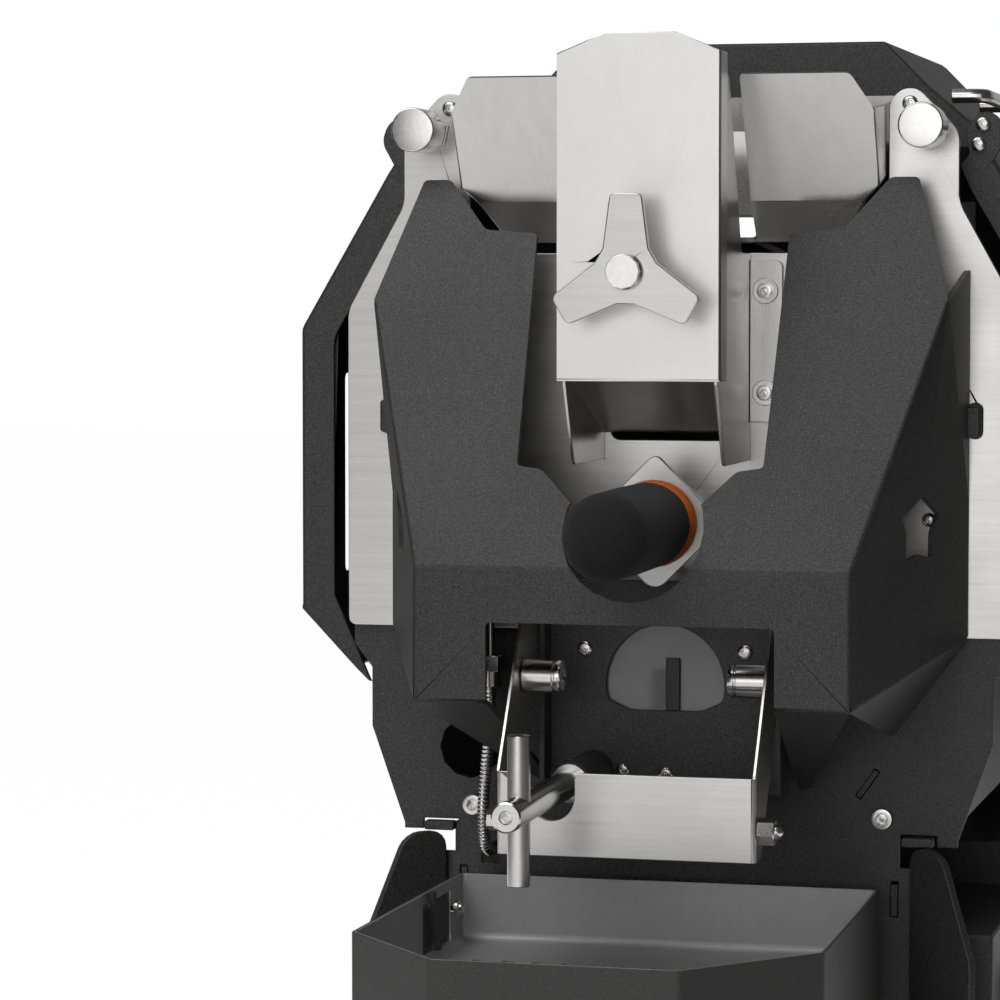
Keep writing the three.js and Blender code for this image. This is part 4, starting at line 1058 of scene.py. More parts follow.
    def softened(self, node: str, look: Look, edge: float = 0.25, fold: float = 1.6,
                 inner: float = 0.5, corner: float = 0.0) -> bpy.types.Object:
        """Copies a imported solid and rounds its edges: sheet borders a little, folds more.

        Args:
            node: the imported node.
            look: its finish.
            edge: rounding of borders, in millimetres.
            fold: rounding on the outer side of folds.
            inner: rounding on the inner side of folds.
            corner: rounding of the sheet's outline where it turns a corner.

        Returns:
            The copy, which stands for the node.
        """
        work = bmesh.new()
        work.from_mesh(self.frame["nodes"][node].data)
        bmesh.ops.remove_doubles(work, verts=work.verts, dist=self.weld)
        self.merged(work)
        outlined = corner > 0.0
        if outlined:
            self.round_outline(work, corner)
            bmesh.ops.dissolve_degenerate(work, dist=self.scrap, edges=work.edges)
            self.merged(work)
        breadth = work.faces.layers.float.new("breadth")
        for face in work.faces:
            face[breadth] = face.calc_area() / max(e.calc_length() for e in face.edges)
        if outlined:
            bmesh.ops.triangulate(work, faces=[face for face in work.faces if len(face.verts) > 4])
        self.weigh(work, (edge, fold, inner), outlined)
        name = f"{node}_skin"
        mesh = bpy.data.meshes.new(name)
        for face in work.faces:
            face.smooth = True
        work.to_mesh(mesh)
        work.free()
        piece = self.finish(name, mesh, look, self.body_of(node))
        bevel = piece.modifiers.new("rounded_edges", "BEVEL")
        bevel.limit_method = "WEIGHT"
        bevel.width = max(edge, fold, inner) * MM
        bevel.segments = 2
        bevel.use_clamp_overlap = False
        bevel.mark_sharp = True
        self.levelled(piece)
        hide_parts(node)
        return piece

    def paint(self, look: Look, *nodes: str) -> None:
        """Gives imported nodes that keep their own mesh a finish.

        Args:
            look: the finish.
            *nodes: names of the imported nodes.
        """
        for node in nodes:
            mesh = self.frame["nodes"][node].data
            mesh.materials.clear()
            mesh.materials.append(look.value.material())
            LOG.info("node %s painted %s", node, look.name)

    def screws(self, name: str, head: Grid, spots: list[Triple], axis: Axis, body: str,
               ring: Grid | None = None, ring_height: float = 0.0) -> bpy.types.Object:
        """Sets the same screw at several places, each turned differently in its socket.

        Args:
            name: the piece's name.
            head: the screw's head.
            spots: where the screws stand.
            axis: where the heads point.
            body: the body they move with.
            ring: a washer for each, or None.
            ring_height: the washer's height.

        Returns:
            The piece that holds all of them.
        """
        first, step = self.screw_turn
        grids = []
        for number, spot in enumerate(spots):
            seat = np.array(spot) + np.array(axis.value) * ring_height
            grids.append(aimed(head, tuple(seat), axis, first + step * number))
            if ring is not None:
                grids.append(aimed(ring, spot, axis))
        return self.place(name, joined(grids), Look.SCREW, body)


# ---- Sub-assemblies ------------------------------------------------------------------------
#
# Sizes are in millimetres from the head's datum. A profile's rows are (radius, height,
# share of hexagon), and a screw head's sizes are (radius, height, half the socket).


@dataclass
class FrontFrame:
    """Stainless front plate, black frame plate, thumb screws and their fasteners."""

    shop: Workshop
    ear_screw: Pair = (85.0, 191.2)
    ear_head: Triple = (2.85, 1.6, 1.05)
    bolt: Triple = (76.4, 2.3, -66.0)
    bolt_head: Triple = (3.75, 3.8, 2.1)
    thumb: Pair = (92.3, 182.5)
    thumb_spin: float = 18.0
    relief_tab: Triple = (89.2, 1.0, -74.2)
    relief_size: Triple = (11.4, 3.4, 5.2)
    relief_soft: float = 0.6
    slant_tab: Pair = (70.65, -53.8)
    slant_size: Triple = (1.8, 11.6, 1.6)
    slant: float = -34.7
    side_tab: Pair = (80.5, -95.9)
    side_size: Triple = (2.2, 11.6, 1.6)
    slot_soft: float = 0.15
    slot_depth: float = 3.3
    thumb_profile: Rows = (
        (0.02, 26.0, 0.0), (7.3, 26.0, 0.0), (7.75, 25.8, 0.0), (8.0, 25.3, 0.0),
        (8.0, 12.4, 0.0), (7.6, 11.9, 0.0), (5.6, 11.9, 0.0), (5.6, 9.4, 0.0), (6.0, 9.4, 0.0),
        (6.5, 9.0, 0.7), (6.7, 8.6, 1.0), (6.7, 4.6, 1.0), (6.3, 4.2, 0.6), (6.3, 4.0, 0.6),
        (6.7, 3.6, 1.0), (6.7, 0.9, 1.0), (6.3, 0.4, 0.5), (3.0, 0.3, 0.0), (3.0, -7.0, 0.0),
        (0.02, -7.0, 0.0))

    def build(self) -> None:
        """Makes the plates' skins and sets their screws and tabs."""
        shop = self.shop
        shop.softened("front_plate", Look.PLATE, edge=0.25, fold=0.25, inner=0.2, corner=3.0)
        shop.softened("frame_plate", Look.BLACK, edge=0.3, fold=0.3, inner=0.2, corner=0.1)
        x, z = self.ear_screw
        shop.screws("ear_screws", button_head(*self.ear_head), [(-x, 0.0, z), (x, 0.0, z)],
                    Axis.FRONT, "root")
        x, y, z = self.bolt
        shop.screws("frame_bolts", cap_head(*self.bolt_head), [(-x, y, z), (x, y, z)],
                    Axis.FRONT, "root")
        self.thumb_screw(-1, "thumb_screw_left", "thumb_left")
        self.thumb_screw(1, "thumb_screw_right", "thumb_right")
        shop.place("chassis_tabs", joined(self.tabs()), Look.BLACK, "root")

    def tabs(self) -> list[Grid]:
        """Makes the ends of the chassis' tabs.

        Returns:
            Two that stand out in the bend reliefs and three that end flush in their slots.
        """
        x, y, z = self.relief_tab
        stout = slab(self.relief_size, self.relief_soft)
        grids = [aimed(stout, (side * x, y, z), Axis.FRONT) for side in (-1, 1)]
        x, z = self.side_tab
        flush = slab(self.side_size, self.slot_soft)
        grids += [aimed(flush, (side * x, self.slot_depth, z), Axis.FRONT) for side in (-1, 1)]
        x, z = self.slant_tab
        slanted = slab(self.slant_size, self.slot_soft)
        return [*grids, aimed(slanted, (x, self.slot_depth, z), Axis.FRONT, self.slant)]

    def thumb_screw(self, side: int, node: str, body: str) -> None:
        """Turned thumb screw: a flat disc head with a bevelled rim on a two-part hexagon base.

        Args:
            side: -1 for the left one and 1 for the right one.
            node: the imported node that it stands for.
            body: the body it moves with.
        """
        x, z = self.thumb
        screw = aimed(lathe(self.thumb_profile, TURNED_SIDES), (side * x, 0.0, z), Axis.FRONT,
                      self.thumb_spin)
        piece = self.shop.place(f"{node}_skin", screw, Look.TURNED, body)
        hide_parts(node)


@dataclass
class FrontGuard:
    """The folded black fascia."""

    shop: Workshop

    def build(self) -> None:
        """Makes its skin with rounded folds."""
        self.shop.softened("fascia", Look.BLACK, edge=0.0, fold=1.2, inner=0.0, corner=3.0)


@dataclass
class BeanInlet:
    """Channel, cover, three-armed knob with its flap, and the hopper."""

    shop: Workshop
    flange_screws: tuple[Triple, ...] = ((33.4, -2.3, 124.3), (33.4, -2.3, 87.6))
    flange_head: Triple = (2.75, 2.6, 1.3)
    flange_washer: Triple = (4.7, 2.0, 0.8)
    knob_screw: Triple = (0.0, -85.3, 131.0)
    knob_head: Triple = (6.4, 3.6, 2.0)

    def build(self) -> None:
        """Makes the skins, the knob's screw and the flange's screws."""
        shop = self.shop
        shop.softened("charge_chute", Look.SHEET, edge=0.2, fold=0.2, inner=0.3, corner=2.5)
        shop.softened("chute_cover", Look.SATIN, edge=0.2, fold=1.6, inner=0.4)
        shop.softened("charge_knob", Look.PLATE, edge=0.4, fold=0.4, inner=0.4, corner=2.2)
        shop.softened("hopper", Look.SHEET, edge=0.0, fold=0.8, inner=0.0, corner=1.5)
        shop.softened("charge_flap", Look.TURNED, edge=0.2, fold=0.2, inner=0.2)
        shop.screws("flange_screws", cap_head(*self.flange_head), list(self.flange_screws),
                    Axis.FRONT, "root", washer(*self.flange_washer), self.flange_washer[2])
        shop.screws("knob_screw", button_head(*self.knob_head), [self.knob_screw], Axis.FRONT,
                    "charge_gate")


@dataclass
class Trier:
    """Sampling tube with its guide flange, foam grip and silicone ring."""

    shop: Workshop
    axis_z: float = 42.0
    grip_front: float = -124.0
    grip_back: float = -45.3
    grip_radius: float = 15.0
    grip_dome: float = 10.0
    dome_fullness: float = 0.86
    grip_swell: float = 0.25
    swell_turn: float = 3.0
    swell_range: Pair = (0.08, 0.95)
    grip_heel: Pair = (0.4, 1.4)
    ring_front: float = -36.0
    ring_radius: float = 13.3
    ring_half: float = 2.2
    ring_middle: float = 2.5

    def build(self) -> None:
        """Makes the flange's skin, the tube, the domed grip and the ring."""
        shop = self.shop
        shop.softened("trier_flange", Look.PLATE, edge=0.3, fold=0.3, inner=0.3, corner=3.2)
        shop.softened("trier_tube", Look.TURNED, edge=0.1, fold=0.1, inner=0.1)
        grip = shop.place("trier_grip_foam", self.grip(), Look.GRIP, "trier")
        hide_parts("trier_grip")
        piece = shop.place("trier_ring_seal", self.ring(), Look.ORANGE, "trier_sleeve")
        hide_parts("trier_ring")

    def grip(self) -> Grid:
        """Domed foam sleeve: the dome's radius is sin(a) to a power below one, which makes
        it fuller than an ellipse, and the sleeve's radius swells by a sine along its length.

        Returns:
            The sleeve on the trier's axis.
        """
        radius, dome = self.grip_radius, self.grip_dome
        length = self.grip_back - self.grip_front
        rows = [(radius * math.sin(a) ** self.dome_fullness + CORE,
                 length - dome * (1.0 - math.cos(a)), 0.0)
                for a in np.linspace(0.0, math.pi / 2, 14)]
        first, last = self.swell_range
        rows += [(radius + self.grip_swell * math.sin(self.swell_turn * s),
                  (length - dome) * (1.0 - s), 0.0) for s in np.linspace(first, last, 12)]
        shoulder, heel = self.grip_heel
        rows += [(radius - shoulder, shoulder, 0.0), (radius - heel, 0.0, 0.0), (CORE, 0.0, 0.0)]
        return aimed(lathe(rows, FOAM_SIDES), (0.0, self.grip_back, self.axis_z), Axis.FRONT)

    def ring(self) -> Grid:
        """Closed ring: a circle, whose last point is its first, turned about the axis.

        Returns:
            The ring on the trier's axis, without the two end faces.
        """
        half = self.ring_half
        rows = [(self.ring_radius + half * math.cos(a), self.ring_middle + half * math.sin(a), 0.0)
                for a in np.linspace(math.pi, -math.pi, 25)]
        points, faces = lathe(rows, FOAM_SIDES)
        return aimed((points, faces[:-2]), (0.0, self.ring_front, self.axis_z), Axis.FRONT)


@dataclass
class DischargeGate:
    """Door with its pane, the bracket round the latch, studs, nuts and screws."""

    shop: Workshop
    face: float = -18.0
    panel_screws: tuple[Pair, ...] = ((-29.4, -5.0), (29.4, -5.0), (0.5, -50.0))
    panel_head: Triple = (2.85, 1.7, 1.05)
    seat_screws: tuple[Pair, ...] = ((-35.5, -48.0), (-15.4, -49.0))
    seat_head: Triple = (2.6, 1.5, 0.95)
    bar_size: Triple = (5.2, 1.2, 19.0)
    bar_soft: float = 0.3
    bar: Triple = (2.7, -16.5, -17.5)
    stud: Triple = (44.2, -50.0, -12.0)
    right_nut: Triple = (45.9, -79.0, -60.5)
    right_nut_size: tuple[float, float, float, float] = (4.4, 6.0, 2.6, 2.6)
    right_nut_spin: float = 12.0
    left_nut: Triple = (-45.9, -79.0, -59.6)
    left_nut_size: Triple = (3.6, 4.0, 2.2)
    left_nut_spin: float = 30.0
    stud_profile: Rows = (
        (0.02, 12.4, 1.0), (2.0, 12.2, 1.0), (2.1, 14.1, 1.0), (2.3, 14.4, 0.5),
        (4.9, 14.4, 0.0), (5.6, 14.1, 0.0), (5.9, 13.4, 0.0), (5.9, 12.2, 0.0), (5.5, 11.8, 0.0),
        (5.5, 11.4, 0.0), (6.0, 11.0, 0.0), (6.0, 0.4, 0.0), (5.6, 0.0, 0.0), (0.02, 0.0, 0.0))

    def build(self) -> None:
        """Makes the skins and all fasteners that swing with the door."""
        shop, body = self.shop, "discharge_gate"
        shop.softened("gate_door", Look.BLACK, edge=0.25, fold=0.8, inner=0.4, corner=2.0)
        shop.softened("sight_glass", Look.GLASS, edge=0.1, fold=0.1, inner=0.1)
        shop.softened("gate_lever", Look.PLATE, edge=0.2, fold=1.6, inner=0.4, corner=2.0)
        shop.softened("latch_tube", Look.BLACK, edge=0.2, fold=0.2, inner=0.2)
        for name, head, spots in (("panel_screws", self.panel_head, self.panel_screws),
                                  ("latch_seat_screws", self.seat_head, self.seat_screws)):
            shop.screws(name, button_head(*head), [(x, self.face, z) for x, z in spots],
                        Axis.FRONT, body)
        shop.place("pane_bar", aimed(slab(self.bar_size, self.bar_soft), self.bar, Axis.UP),
                   Look.PLASTIC, body)
        x, y, z = self.stud
        for side, node, direction in ((-1, "gate_stud_left", Axis.RIGHT),
                                      (1, "gate_stud_right", Axis.LEFT)):
            stud = lathe(self.stud_profile, TURNED_SIDES)
            grid = aimed(stud, (side * x, y, z), direction)
            piece = shop.place(f"{node}_skin", grid, Look.TURNED, body)
            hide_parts(node)
        capped = aimed(hex_nut(*self.right_nut_size), self.right_nut, Axis.RIGHT,
                       self.right_nut_spin)
        shop.place("lever_nut_right", capped, Look.SCREW, body)
        plain = aimed(hex_nut(*self.left_nut_size), self.left_nut, Axis.LEFT, self.left_nut_spin)
        shop.place("lever_nut_left", plain, Look.SCREW, body)


@dataclass
class LatchHandle:
    """T-handle: shaft, collar, cap screw in its end and the cross bar."""

    shop: Workshop
    axis: Pair = (-26.0, -49.0)
    spin: float = 12.0
    bar_y: float = -130.0
    bar_half: float = 25.5
    bar_radius: float = 3.9
    bar_soft: float = 0.5
    bar_sides: int = 48
    bevel: Pair = (3.8, 0.15)
    shaft_profile: Rows = (
        (0.02, 144.6, 1.0), (2.1, 144.4, 1.0), (2.2, 147.4, 1.0), (2.4, 147.8, 0.5),
        (4.6, 147.8, 0.0), (5.2, 147.4, 0.0), (5.3, 146.8, 0.0), (5.3, 143.6, 0.0),
        (4.9, 143.2, 0.0), (4.9, 142.8, 0.0), (5.1, 142.4, 0.0), (5.1, 124.6, 0.0),
        (4.9, 124.2, 0.0), (4.9, 60.0, 0.0), (4.9, 57.4, 0.0), (6.6, 57.4, 0.0),
        (7.1, 56.9, 0.0), (7.1, 54.6, 0.0), (6.9, 54.4, 0.0), (4.9, 54.4, 0.0),
        (4.9, 19.2, 0.0), (0.02, 19.2, 0.0))

    def build(self) -> None:
        """Makes one turned shaft with its socket end, and one cross bar with bevelled ends."""
        x, z = self.axis
        shaft = aimed(lathe(self.shaft_profile, TURNED_SIDES), (x, 0.0, z), Axis.FRONT,
                      self.spin)
        half, soft, radius = self.bar_half, self.bar_soft, self.bar_radius
        shoulder, drop = self.bevel
        upper = [(CORE, half, 0.0), (radius - soft, half, 0.0), (shoulder, half - drop, 0.0),
                 (radius, half - soft, 0.0)]
        lower = [(r, -height, k) for r, height, k in reversed(upper)]
        bar = aimed(lathe(upper + lower, self.bar_sides), (x, self.bar_y, z), Axis.UP)
        piece = self.shop.place("latch_handle_skin", joined([shaft, bar]), Look.TURNED, "latch")
        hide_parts("latch_handle")


@dataclass
class Probe:
    """Bean probe: hexagon fitting and the ribbed armour of its cable."""

    shop: Workshop
    fitting: Triple = (-67.5, -9.0, -9.0)
    fitting_spin: float = 10.0
    stem: Triple = (-67.5, -9.0, 16.0)
    rib_pitch: float = 1.5
    rib_points: int = 8
    tube: float = 2.35
    rib: float = 0.4
    fitting_sides: int = 48
    stem_sides: int = 24
    armour_sides: int = 20
    fitting_profile: Rows = (
        (0.02, 27.0, 0.0), (1.9, 27.0, 0.0), (1.9, 0.0, 0.0), (5.6, 0.0, 0.0), (6.0, -0.3, 0.7),
        (6.1, -0.7, 1.0), (6.1, -5.4, 1.0), (5.8, -5.9, 0.5), (4.2, -6.0, 0.0),
        (4.1, -11.6, 0.0), (3.7, -12.0, 0.0), (0.02, -12.0, 0.0))
    stem_profile: Rows = ((0.02, 8.8, 0.0), (1.9, 8.8, 0.0), (1.9, 0.0, 0.0), (0.02, 0.0, 0.0))
    route: Rows = (
        (-67.5, -9.0, -21.3), (-67.5, -9.0, -35.0), (-68.5, -11.0, -50.0), (-69.5, -11.0, -66.0),
        (-70.3, -7.0, -78.0), (-70.3, -1.0, -82.5), (-70.3, 8.0, -83.0), (-70.3, 20.0, -83.0))

    def build(self) -> None:
        """Makes the fitting, and the armour along its route.

        The armour's radius is the tube's less a rib's height times |cos(pi n)| cubed, where
        n counts the ribs along the cable, so narrow grooves part broad rounded ribs.
        """
        fitting = aimed(lathe(self.fitting_profile, self.fitting_sides), self.fitting, Axis.UP,
                        self.fitting_spin)
        stem = aimed(lathe(self.stem_profile, self.stem_sides), self.stem, Axis.BACK)
        piece = self.shop.place("probe_fitting_skin", joined([fitting, stem]), Look.TURNED, "root")
        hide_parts("probe_fitting")
        length = np.linalg.norm(np.diff(np.array(self.route), axis=0), axis=1).sum()
        count = int(length / self.rib_pitch) * self.rib_points
        path = smooth_path(self.route, count)
        run = np.linspace(0.0, length / self.rib_pitch, count)
        radii = self.tube - self.rib * np.abs(np.cos(math.pi * run)) ** 3
        armour = swept(path, radii, np.array(Axis.RIGHT.value), self.armour_sides)
        cable = self.shop.place("probe_armour", armour, Look.TURNED, "root")
        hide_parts("probe_cable")


@dataclass
class DrumDrive:
    """Drum, housing, heaters, bearing plate, gear pair and motor inside the shells."""

    shop: Workshop

    def build(self) -> None:
        """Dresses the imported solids, which the shells hide from most sides."""
        self.shop.paint(Look.DRUM, "drum")
        self.shop.paint(Look.BLACK, "drum_housing")
        self.shop.paint(Look.QUARTZ, "heater_left", "heater_right")
        self.shop.paint(Look.ZINC, "bearing_plate", "drum_gear", "motor_pinion")
        self.shop.paint(Look.PLASTIC, "gear_motor")


@dataclass
class OuterShells:
    """Side shells, top cover, hood, rear cover, exhaust fan and carrying handle."""

    shop: Workshop
    lug_screws: tuple[Triple, ...] = ((108.5, 20.0, 184.4), (106.9, 20.0, 177.2))
    lug_head: Triple = (2.75, 1.8, 1.05)
    port_screws: tuple[Triple, ...] = ((92.7, 0.0, 42.4), (-92.7, 0.0, 42.4))
    port_head: Triple = (2.6, 1.6, 1.0)

    def build(self) -> None:
        """Makes the folded skins and the round handle."""
        shop = self.shop
        for node in ("left_shell", "right_shell"):
            shop.softened(node, Look.BLACK, edge=0.3, fold=1.6, inner=0.4, corner=3.0)
        shop.softened("rear_hood", Look.BLACK, edge=0.3, fold=1.2, inner=0.4)
        for node in ("top_cover", "rear_cover"):
            shop.softened(node, Look.BLACK, edge=0.3, fold=0.6, inner=0.3, corner=2.0)
        shop.paint(Look.BLACK, "chassis_wall_left", "chassis_wall_right")
        for name, head, spots in (("lug_screws", self.lug_head, self.lug_screws),
                                  ("port_screws", self.port_head, self.port_screws)):
            shop.screws(name, button_head(*head), list(spots), Axis.FRONT, "root")
        shop.softened("exhaust_impeller", Look.PLASTIC, edge=0.2, fold=0.2, inner=0.2)
        shop.softened("carry_handle", Look.TURNED, edge=0.3, fold=0.3, inner=0.3)


@dataclass
class BaseUnit:
    """Pan, cover, dials, fan box, fan, feet, cheeks, inlet, switch and chaff drawer."""

    shop: Workshop

    def build(self) -> None:
        """Makes the skins of the base."""
        shop = self.shop
        shop.softened("base_pan", Look.ZINC, edge=0.3, fold=0.3, inner=0.3)
        for node in ("base_cover", "fan_box", "chaff_drawer"):
            shop.softened(node, Look.BLACK, edge=0.3, fold=1.0, inner=0.4)
        for node in ("cheek_left", "cheek_right"):
            shop.softened(node, Look.BLACK, edge=0.4, fold=0.8, inner=0.5, corner=6.0)
        for node in ("dial_1", "dial_2", "dial_3", "power_inlet", "power_rocker",
                     "cooling_impeller"):
            shop.softened(node, Look.PLASTIC, edge=0.4, fold=0.4, inner=0.3)
        for corner in ("front_left", "front_right", "rear_left", "rear_right"):
            shop.softened(f"foot_{corner}", Look.RUBBER, edge=0.8, fold=0.8, inner=0.5)


@dataclass
class CoolingTray:
    """Cooling tray: coated outer wall, bare liner bent into a perforated floor, and the
    flap in its left wall. Heights are measured from the desk."""

    shop: Workshop
    backs: Pair = (78.0, -14.0)
    shoulders: Pair = (80.0, -145.0)
    fronts: Pair = (41.0, -189.0)
    rounding: float = 3.0
    rim: float = 86.5
    low: float = 38.3
    floor: float = 62.0
    under: float = 1.2
    bend: float = 3.6
    wall: float = 1.5
    edge: float = 0.15
    step: float = 0.1
    lap: float = 0.04
    lip_lap: float = 0.12
    floor_lap: float = 0.3
    floor_rounding: float = 0.6
    hole: float = 2.65
    hole_rim: float = 0.25
    hole_margin: float = 1.5
    hole_sides: int = 20
    pitch: float = 10.8
    first_row: float = -55.0
    hole_steps: Triple = (0.05, 0.1, 0.3)
    ring_weld: float = 0.01
    doubled: float = 1e-6
    columns: int = 16
    rows: int = 14
    door: tuple[float, float, float, float] = (-66.0, -30.0, 64.0, 82.5)
    plate_x: float = -78.2
    plate_thick: float = 1.3
    plate_gap: Pair = (2.4, 4.0)
    plate_soft: float = 0.4
    lip_size: Triple = (3.2, 2.2, 22.5)
    lip_soft: float = 0.6
    lip_lean: float = -0.34
    lip: Triple = (-75.4, -57.2, 75.9)
    pivot: Triple = (-76.8, -29.0, 76.0)
    pivot_profile: Rows = (
        (0.02, 4.4, 0.0), (1.5, 4.4, 0.0), (1.9, 4.0, 0.0), (1.9, 3.0, 0.0), (2.9, 2.8, 0.0),
        (3.0, 1.6, 0.0), (2.0, 1.4, 0.0), (1.7, 0.0, 0.0), (0.02, 0.0, 0.0))
    pivot_sides: int = 28
    wall_screw: Triple = (76.4, -17.5, 73.0)
    wall_head: Triple = (2.4, 1.5, 0.95)

    def corners(self) -> np.ndarray:
        """Corners of the tray's plan, counter-clockwise from the right rear one."""
        (a, b), (c, d), (e, f) = self.backs, self.shoulders, self.fronts
        return np.array([[a, b], [-a, b], [-c, d], [-e, f], [e, f], [c, d]], float)

    def build(self) -> None:
        """Makes wall, liner, floor, flap and screws."""
        shop = self.shop
        thin, top, low, soft = 0.5 * self.wall, self.rim, self.low, self.edge
        wall_rows = [(soft, top), (0.0, top - soft), (0.0, low + soft), (soft, low),
                     (thin - self.step, low), (thin, low + soft), (thin, top - soft),
                     (thin - self.step, top), (soft, top)]
        shell = shop.place("cooling_tray_wall", self.sleeve(wall_rows), Look.TRAY_BLACK, "tray",
                           True)
        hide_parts("cooling_tray")
        liner = shop.place("cooling_tray_liner", self.sleeve(self.liner_rows()), Look.TRAY,
                           "tray", True)
        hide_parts("cooling_tray")
        inset = self.wall + self.bend - self.floor_lap
        plate = shop.place("cooling_tray_floor", self.floor_plate(inset), Look.TRAY, "tray", True)
        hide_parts("cooling_tray")
        self.flap()

    def liner_rows(self) -> list[Pair]:
        """Works out the liner's section: down behind the wall, in under the floor, and up
        again through a quarter circle from the floor to the wall.

        Returns:
            (inset, height) of each ring, where the last is the first again.
        """
        thin, top = 0.5 * self.wall, self.rim
        under, reach = self.floor - self.under, self.wall + self.bend
        turn = np.linspace(math.pi / 2, 0.0, 7)
        curve = [(self.wall + self.bend * (1.0 - math.cos(a)),
                  self.floor + self.bend * (1.0 - math.sin(a))) for a in turn]
        return [(thin + self.lip_lap, top), (thin + self.lap, top - self.step),
                (thin + self.lap, under), (reach, under), *curve, (self.wall, top - self.edge),
                (self.wall - self.lip_lap, top), (thin + self.lip_lap, top)]

    def sleeve(self, rows: list[Pair]) -> Grid:
        """Wall all round the tray, open where the flap closes it; the last ring lies on the first.

        Args:
            rows: (inset, height) of each ring in millimetres.

        Returns:
            The wall split along the opening's four borders, without what lay between them, and
            with its outer and inner borders joined.
        """
        points, faces = closed_rings(stacked(self.corners(), rows, self.rounding))
        front, back, low, high = self.door
        work = working(points, [], faces[:-2])
        bmesh.ops.remove_doubles(work, verts=work.verts, dist=self.ring_weld)
        cuts = [((0.0, spot, 0.0), (0.0, 1.0, 0.0)) for spot in (front, back)]
        cuts += [((0.0, 0.0, spot), (0.0, 0.0, 1.0)) for spot in (low, high)]
        for spot, ahead in cuts:
            bmesh.ops.bisect_plane(work, geom=[*work.verts, *work.edges, *work.faces],
                                   plane_co=spot, plane_no=ahead)
        middles = [(face, face.calc_center_median()) for face in work.faces]
        inside = [face for face, c in middles
                  if c.x < -self.fronts[0] and front < c.y < back and low < c.z < high]
        bmesh.ops.delete(work, geom=inside, context="FACES")
        borders = [line for line in work.edges if line.is_boundary]
        bmesh.ops.bridge_loops(work, edges=borders)
        return grid_of(work)

    def hole_spots(self, plan: np.ndarray) -> np.ndarray:
        """Hole centres on a square grid that is half a pitch off the middle.

        A centre is kept where its distance to every side of the plan, taken along the side's
        inward normal, is more than the hole's radius and a margin.

        Args:
            plan: the floor's outline, counter-clockwise, without doubled points.

        Returns:
            An array of centres by 2.
        """
        half = self.columns // 2
        x = (np.arange(-half, half) + 0.5) * self.pitch
        y = self.first_row - np.arange(0, self.rows) * self.pitch
        spots = np.stack(np.meshgrid(x, y), axis=-1).reshape(-1, 2)
        ahead = np.roll(plan, -1, axis=0) - plan
        inward = np.stack([-ahead[:, 1], ahead[:, 0]], axis=1)
        inward /= np.linalg.norm(ahead, axis=1, keepdims=True)
        depth = np.min(np.sum((spots[:, None, :] - plan[None]) * inward[None], axis=-1), axis=1)
        return spots[depth > self.hole + self.hole_margin]

    def floor_plate(self, inset: float) -> Grid:
        """Perforated floor: the plan's outline and round holes filled flat, with a short
        sleeve in each hole.

        Args:
            inset: how far the floor's outline lies inside the tray's.

        Returns:
            The floor with its holes' walls.
        """
        plan = rounded_plan(self.corners(), inset, self.floor_rounding)
        plan = plan[np.linalg.norm(np.roll(plan, -1, axis=0) - plan, axis=1) > self.doubled]
        spots = self.hole_spots(plan)
        turn = np.linspace(0.0, 2.0 * math.pi, self.hole_sides, endpoint=False)
        ring = np.stack([np.cos(turn), np.sin(turn)], axis=1)
        wide = self.hole + self.hole_rim
        rims = spots[:, None] + wide * ring[None]
        flat = np.vstack([plan, rims.reshape(-1, 2)])
        outer = np.arange(len(plan))
        inner = np.arange(len(plan), len(flat)).reshape(rims.shape[:2])
        edges = [np.stack([row, np.roll(row, -1, axis=-1)], axis=-1).reshape(-1, 2)
                 for row in (outer, inner)]
        fill = working(np.column_stack([flat, np.full(len(flat), self.floor)]),
                       np.vstack(edges).tolist(), [])
        bmesh.ops.triangle_fill(fill, use_beauty=True, use_dissolve=False, edges=fill.edges,
                                normal=(0.0, 0.0, 1.0))
        bmesh.ops.recalc_face_normals(fill, faces=fill.faces)
        flare, first, second = self.hole_steps
        rows = [(wide, 0.0), (self.hole + flare, -first), (self.hole, -second),
                (self.hole, -self.wall)]
        tubes = [spots[:, None, :] + reach * ring[None] for reach, _ in rows]
        heights = [np.full(tube.shape[:2] + (1,), self.floor + height)
                   for tube, (_, height) in zip(tubes, rows)]
        walls = np.stack([np.concatenate([tube, height], axis=-1)
                          for tube, height in zip(tubes, heights)], axis=1)
        index = np.arange(walls.size // 3).reshape(walls.shape[:3])
        following = np.roll(index, -1, axis=2)
        quads = np.stack([index[:, :-1], following[:, :-1], following[:, 1:], index[:, 1:]],
                         axis=-1).reshape(-1, 4)
        holes = (walls.reshape(-1, 3), [tuple(q) for q in quads.tolist()])
        return joined([grid_of(fill), holes])

    def flap(self) -> None:
        """Makes the door plate with its leaning lip, its pivot's bush and the right wall's screw.

        The lip is a box sheared along Y: each point's y moves by the lean times its height.
        """
        shop = self.shop
        front, back, low, high = self.door
        across, upwards = self.plate_gap
        size = (self.plate_thick, back - front - across, high - low - upwards)
        plate = aimed(slab(size, self.plate_soft),
                      (self.plate_x, (front + back) / 2, (low + high) / 2), Axis.UP)
        points, faces = slab(self.lip_size, self.lip_soft)
        lean = np.array([[1.0, 0.0, 0.0], [0.0, 1.0, 0.0], [0.0, self.lip_lean, 1.0]])
        bar = (points @ lean + np.array(self.lip), faces)
        piece = shop.place("tray_flap_skin", joined([plate, bar]), Look.TRAY_BLACK, "flap", True)
        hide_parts("tray_flap")
        bush = aimed(lathe(self.pivot_profile, self.pivot_sides), self.pivot, Axis.RIGHT)
        shop.place("tray_pivot", bush, Look.SCREW, "tray", True)
        screw = aimed(button_head(*self.wall_head), self.wall_screw, Axis.LEFT)
        shop.place("tray_wall_screw", screw, Look.SCREW, "tray", True)


# ---- Studio --------------------------------------------------------------------------------


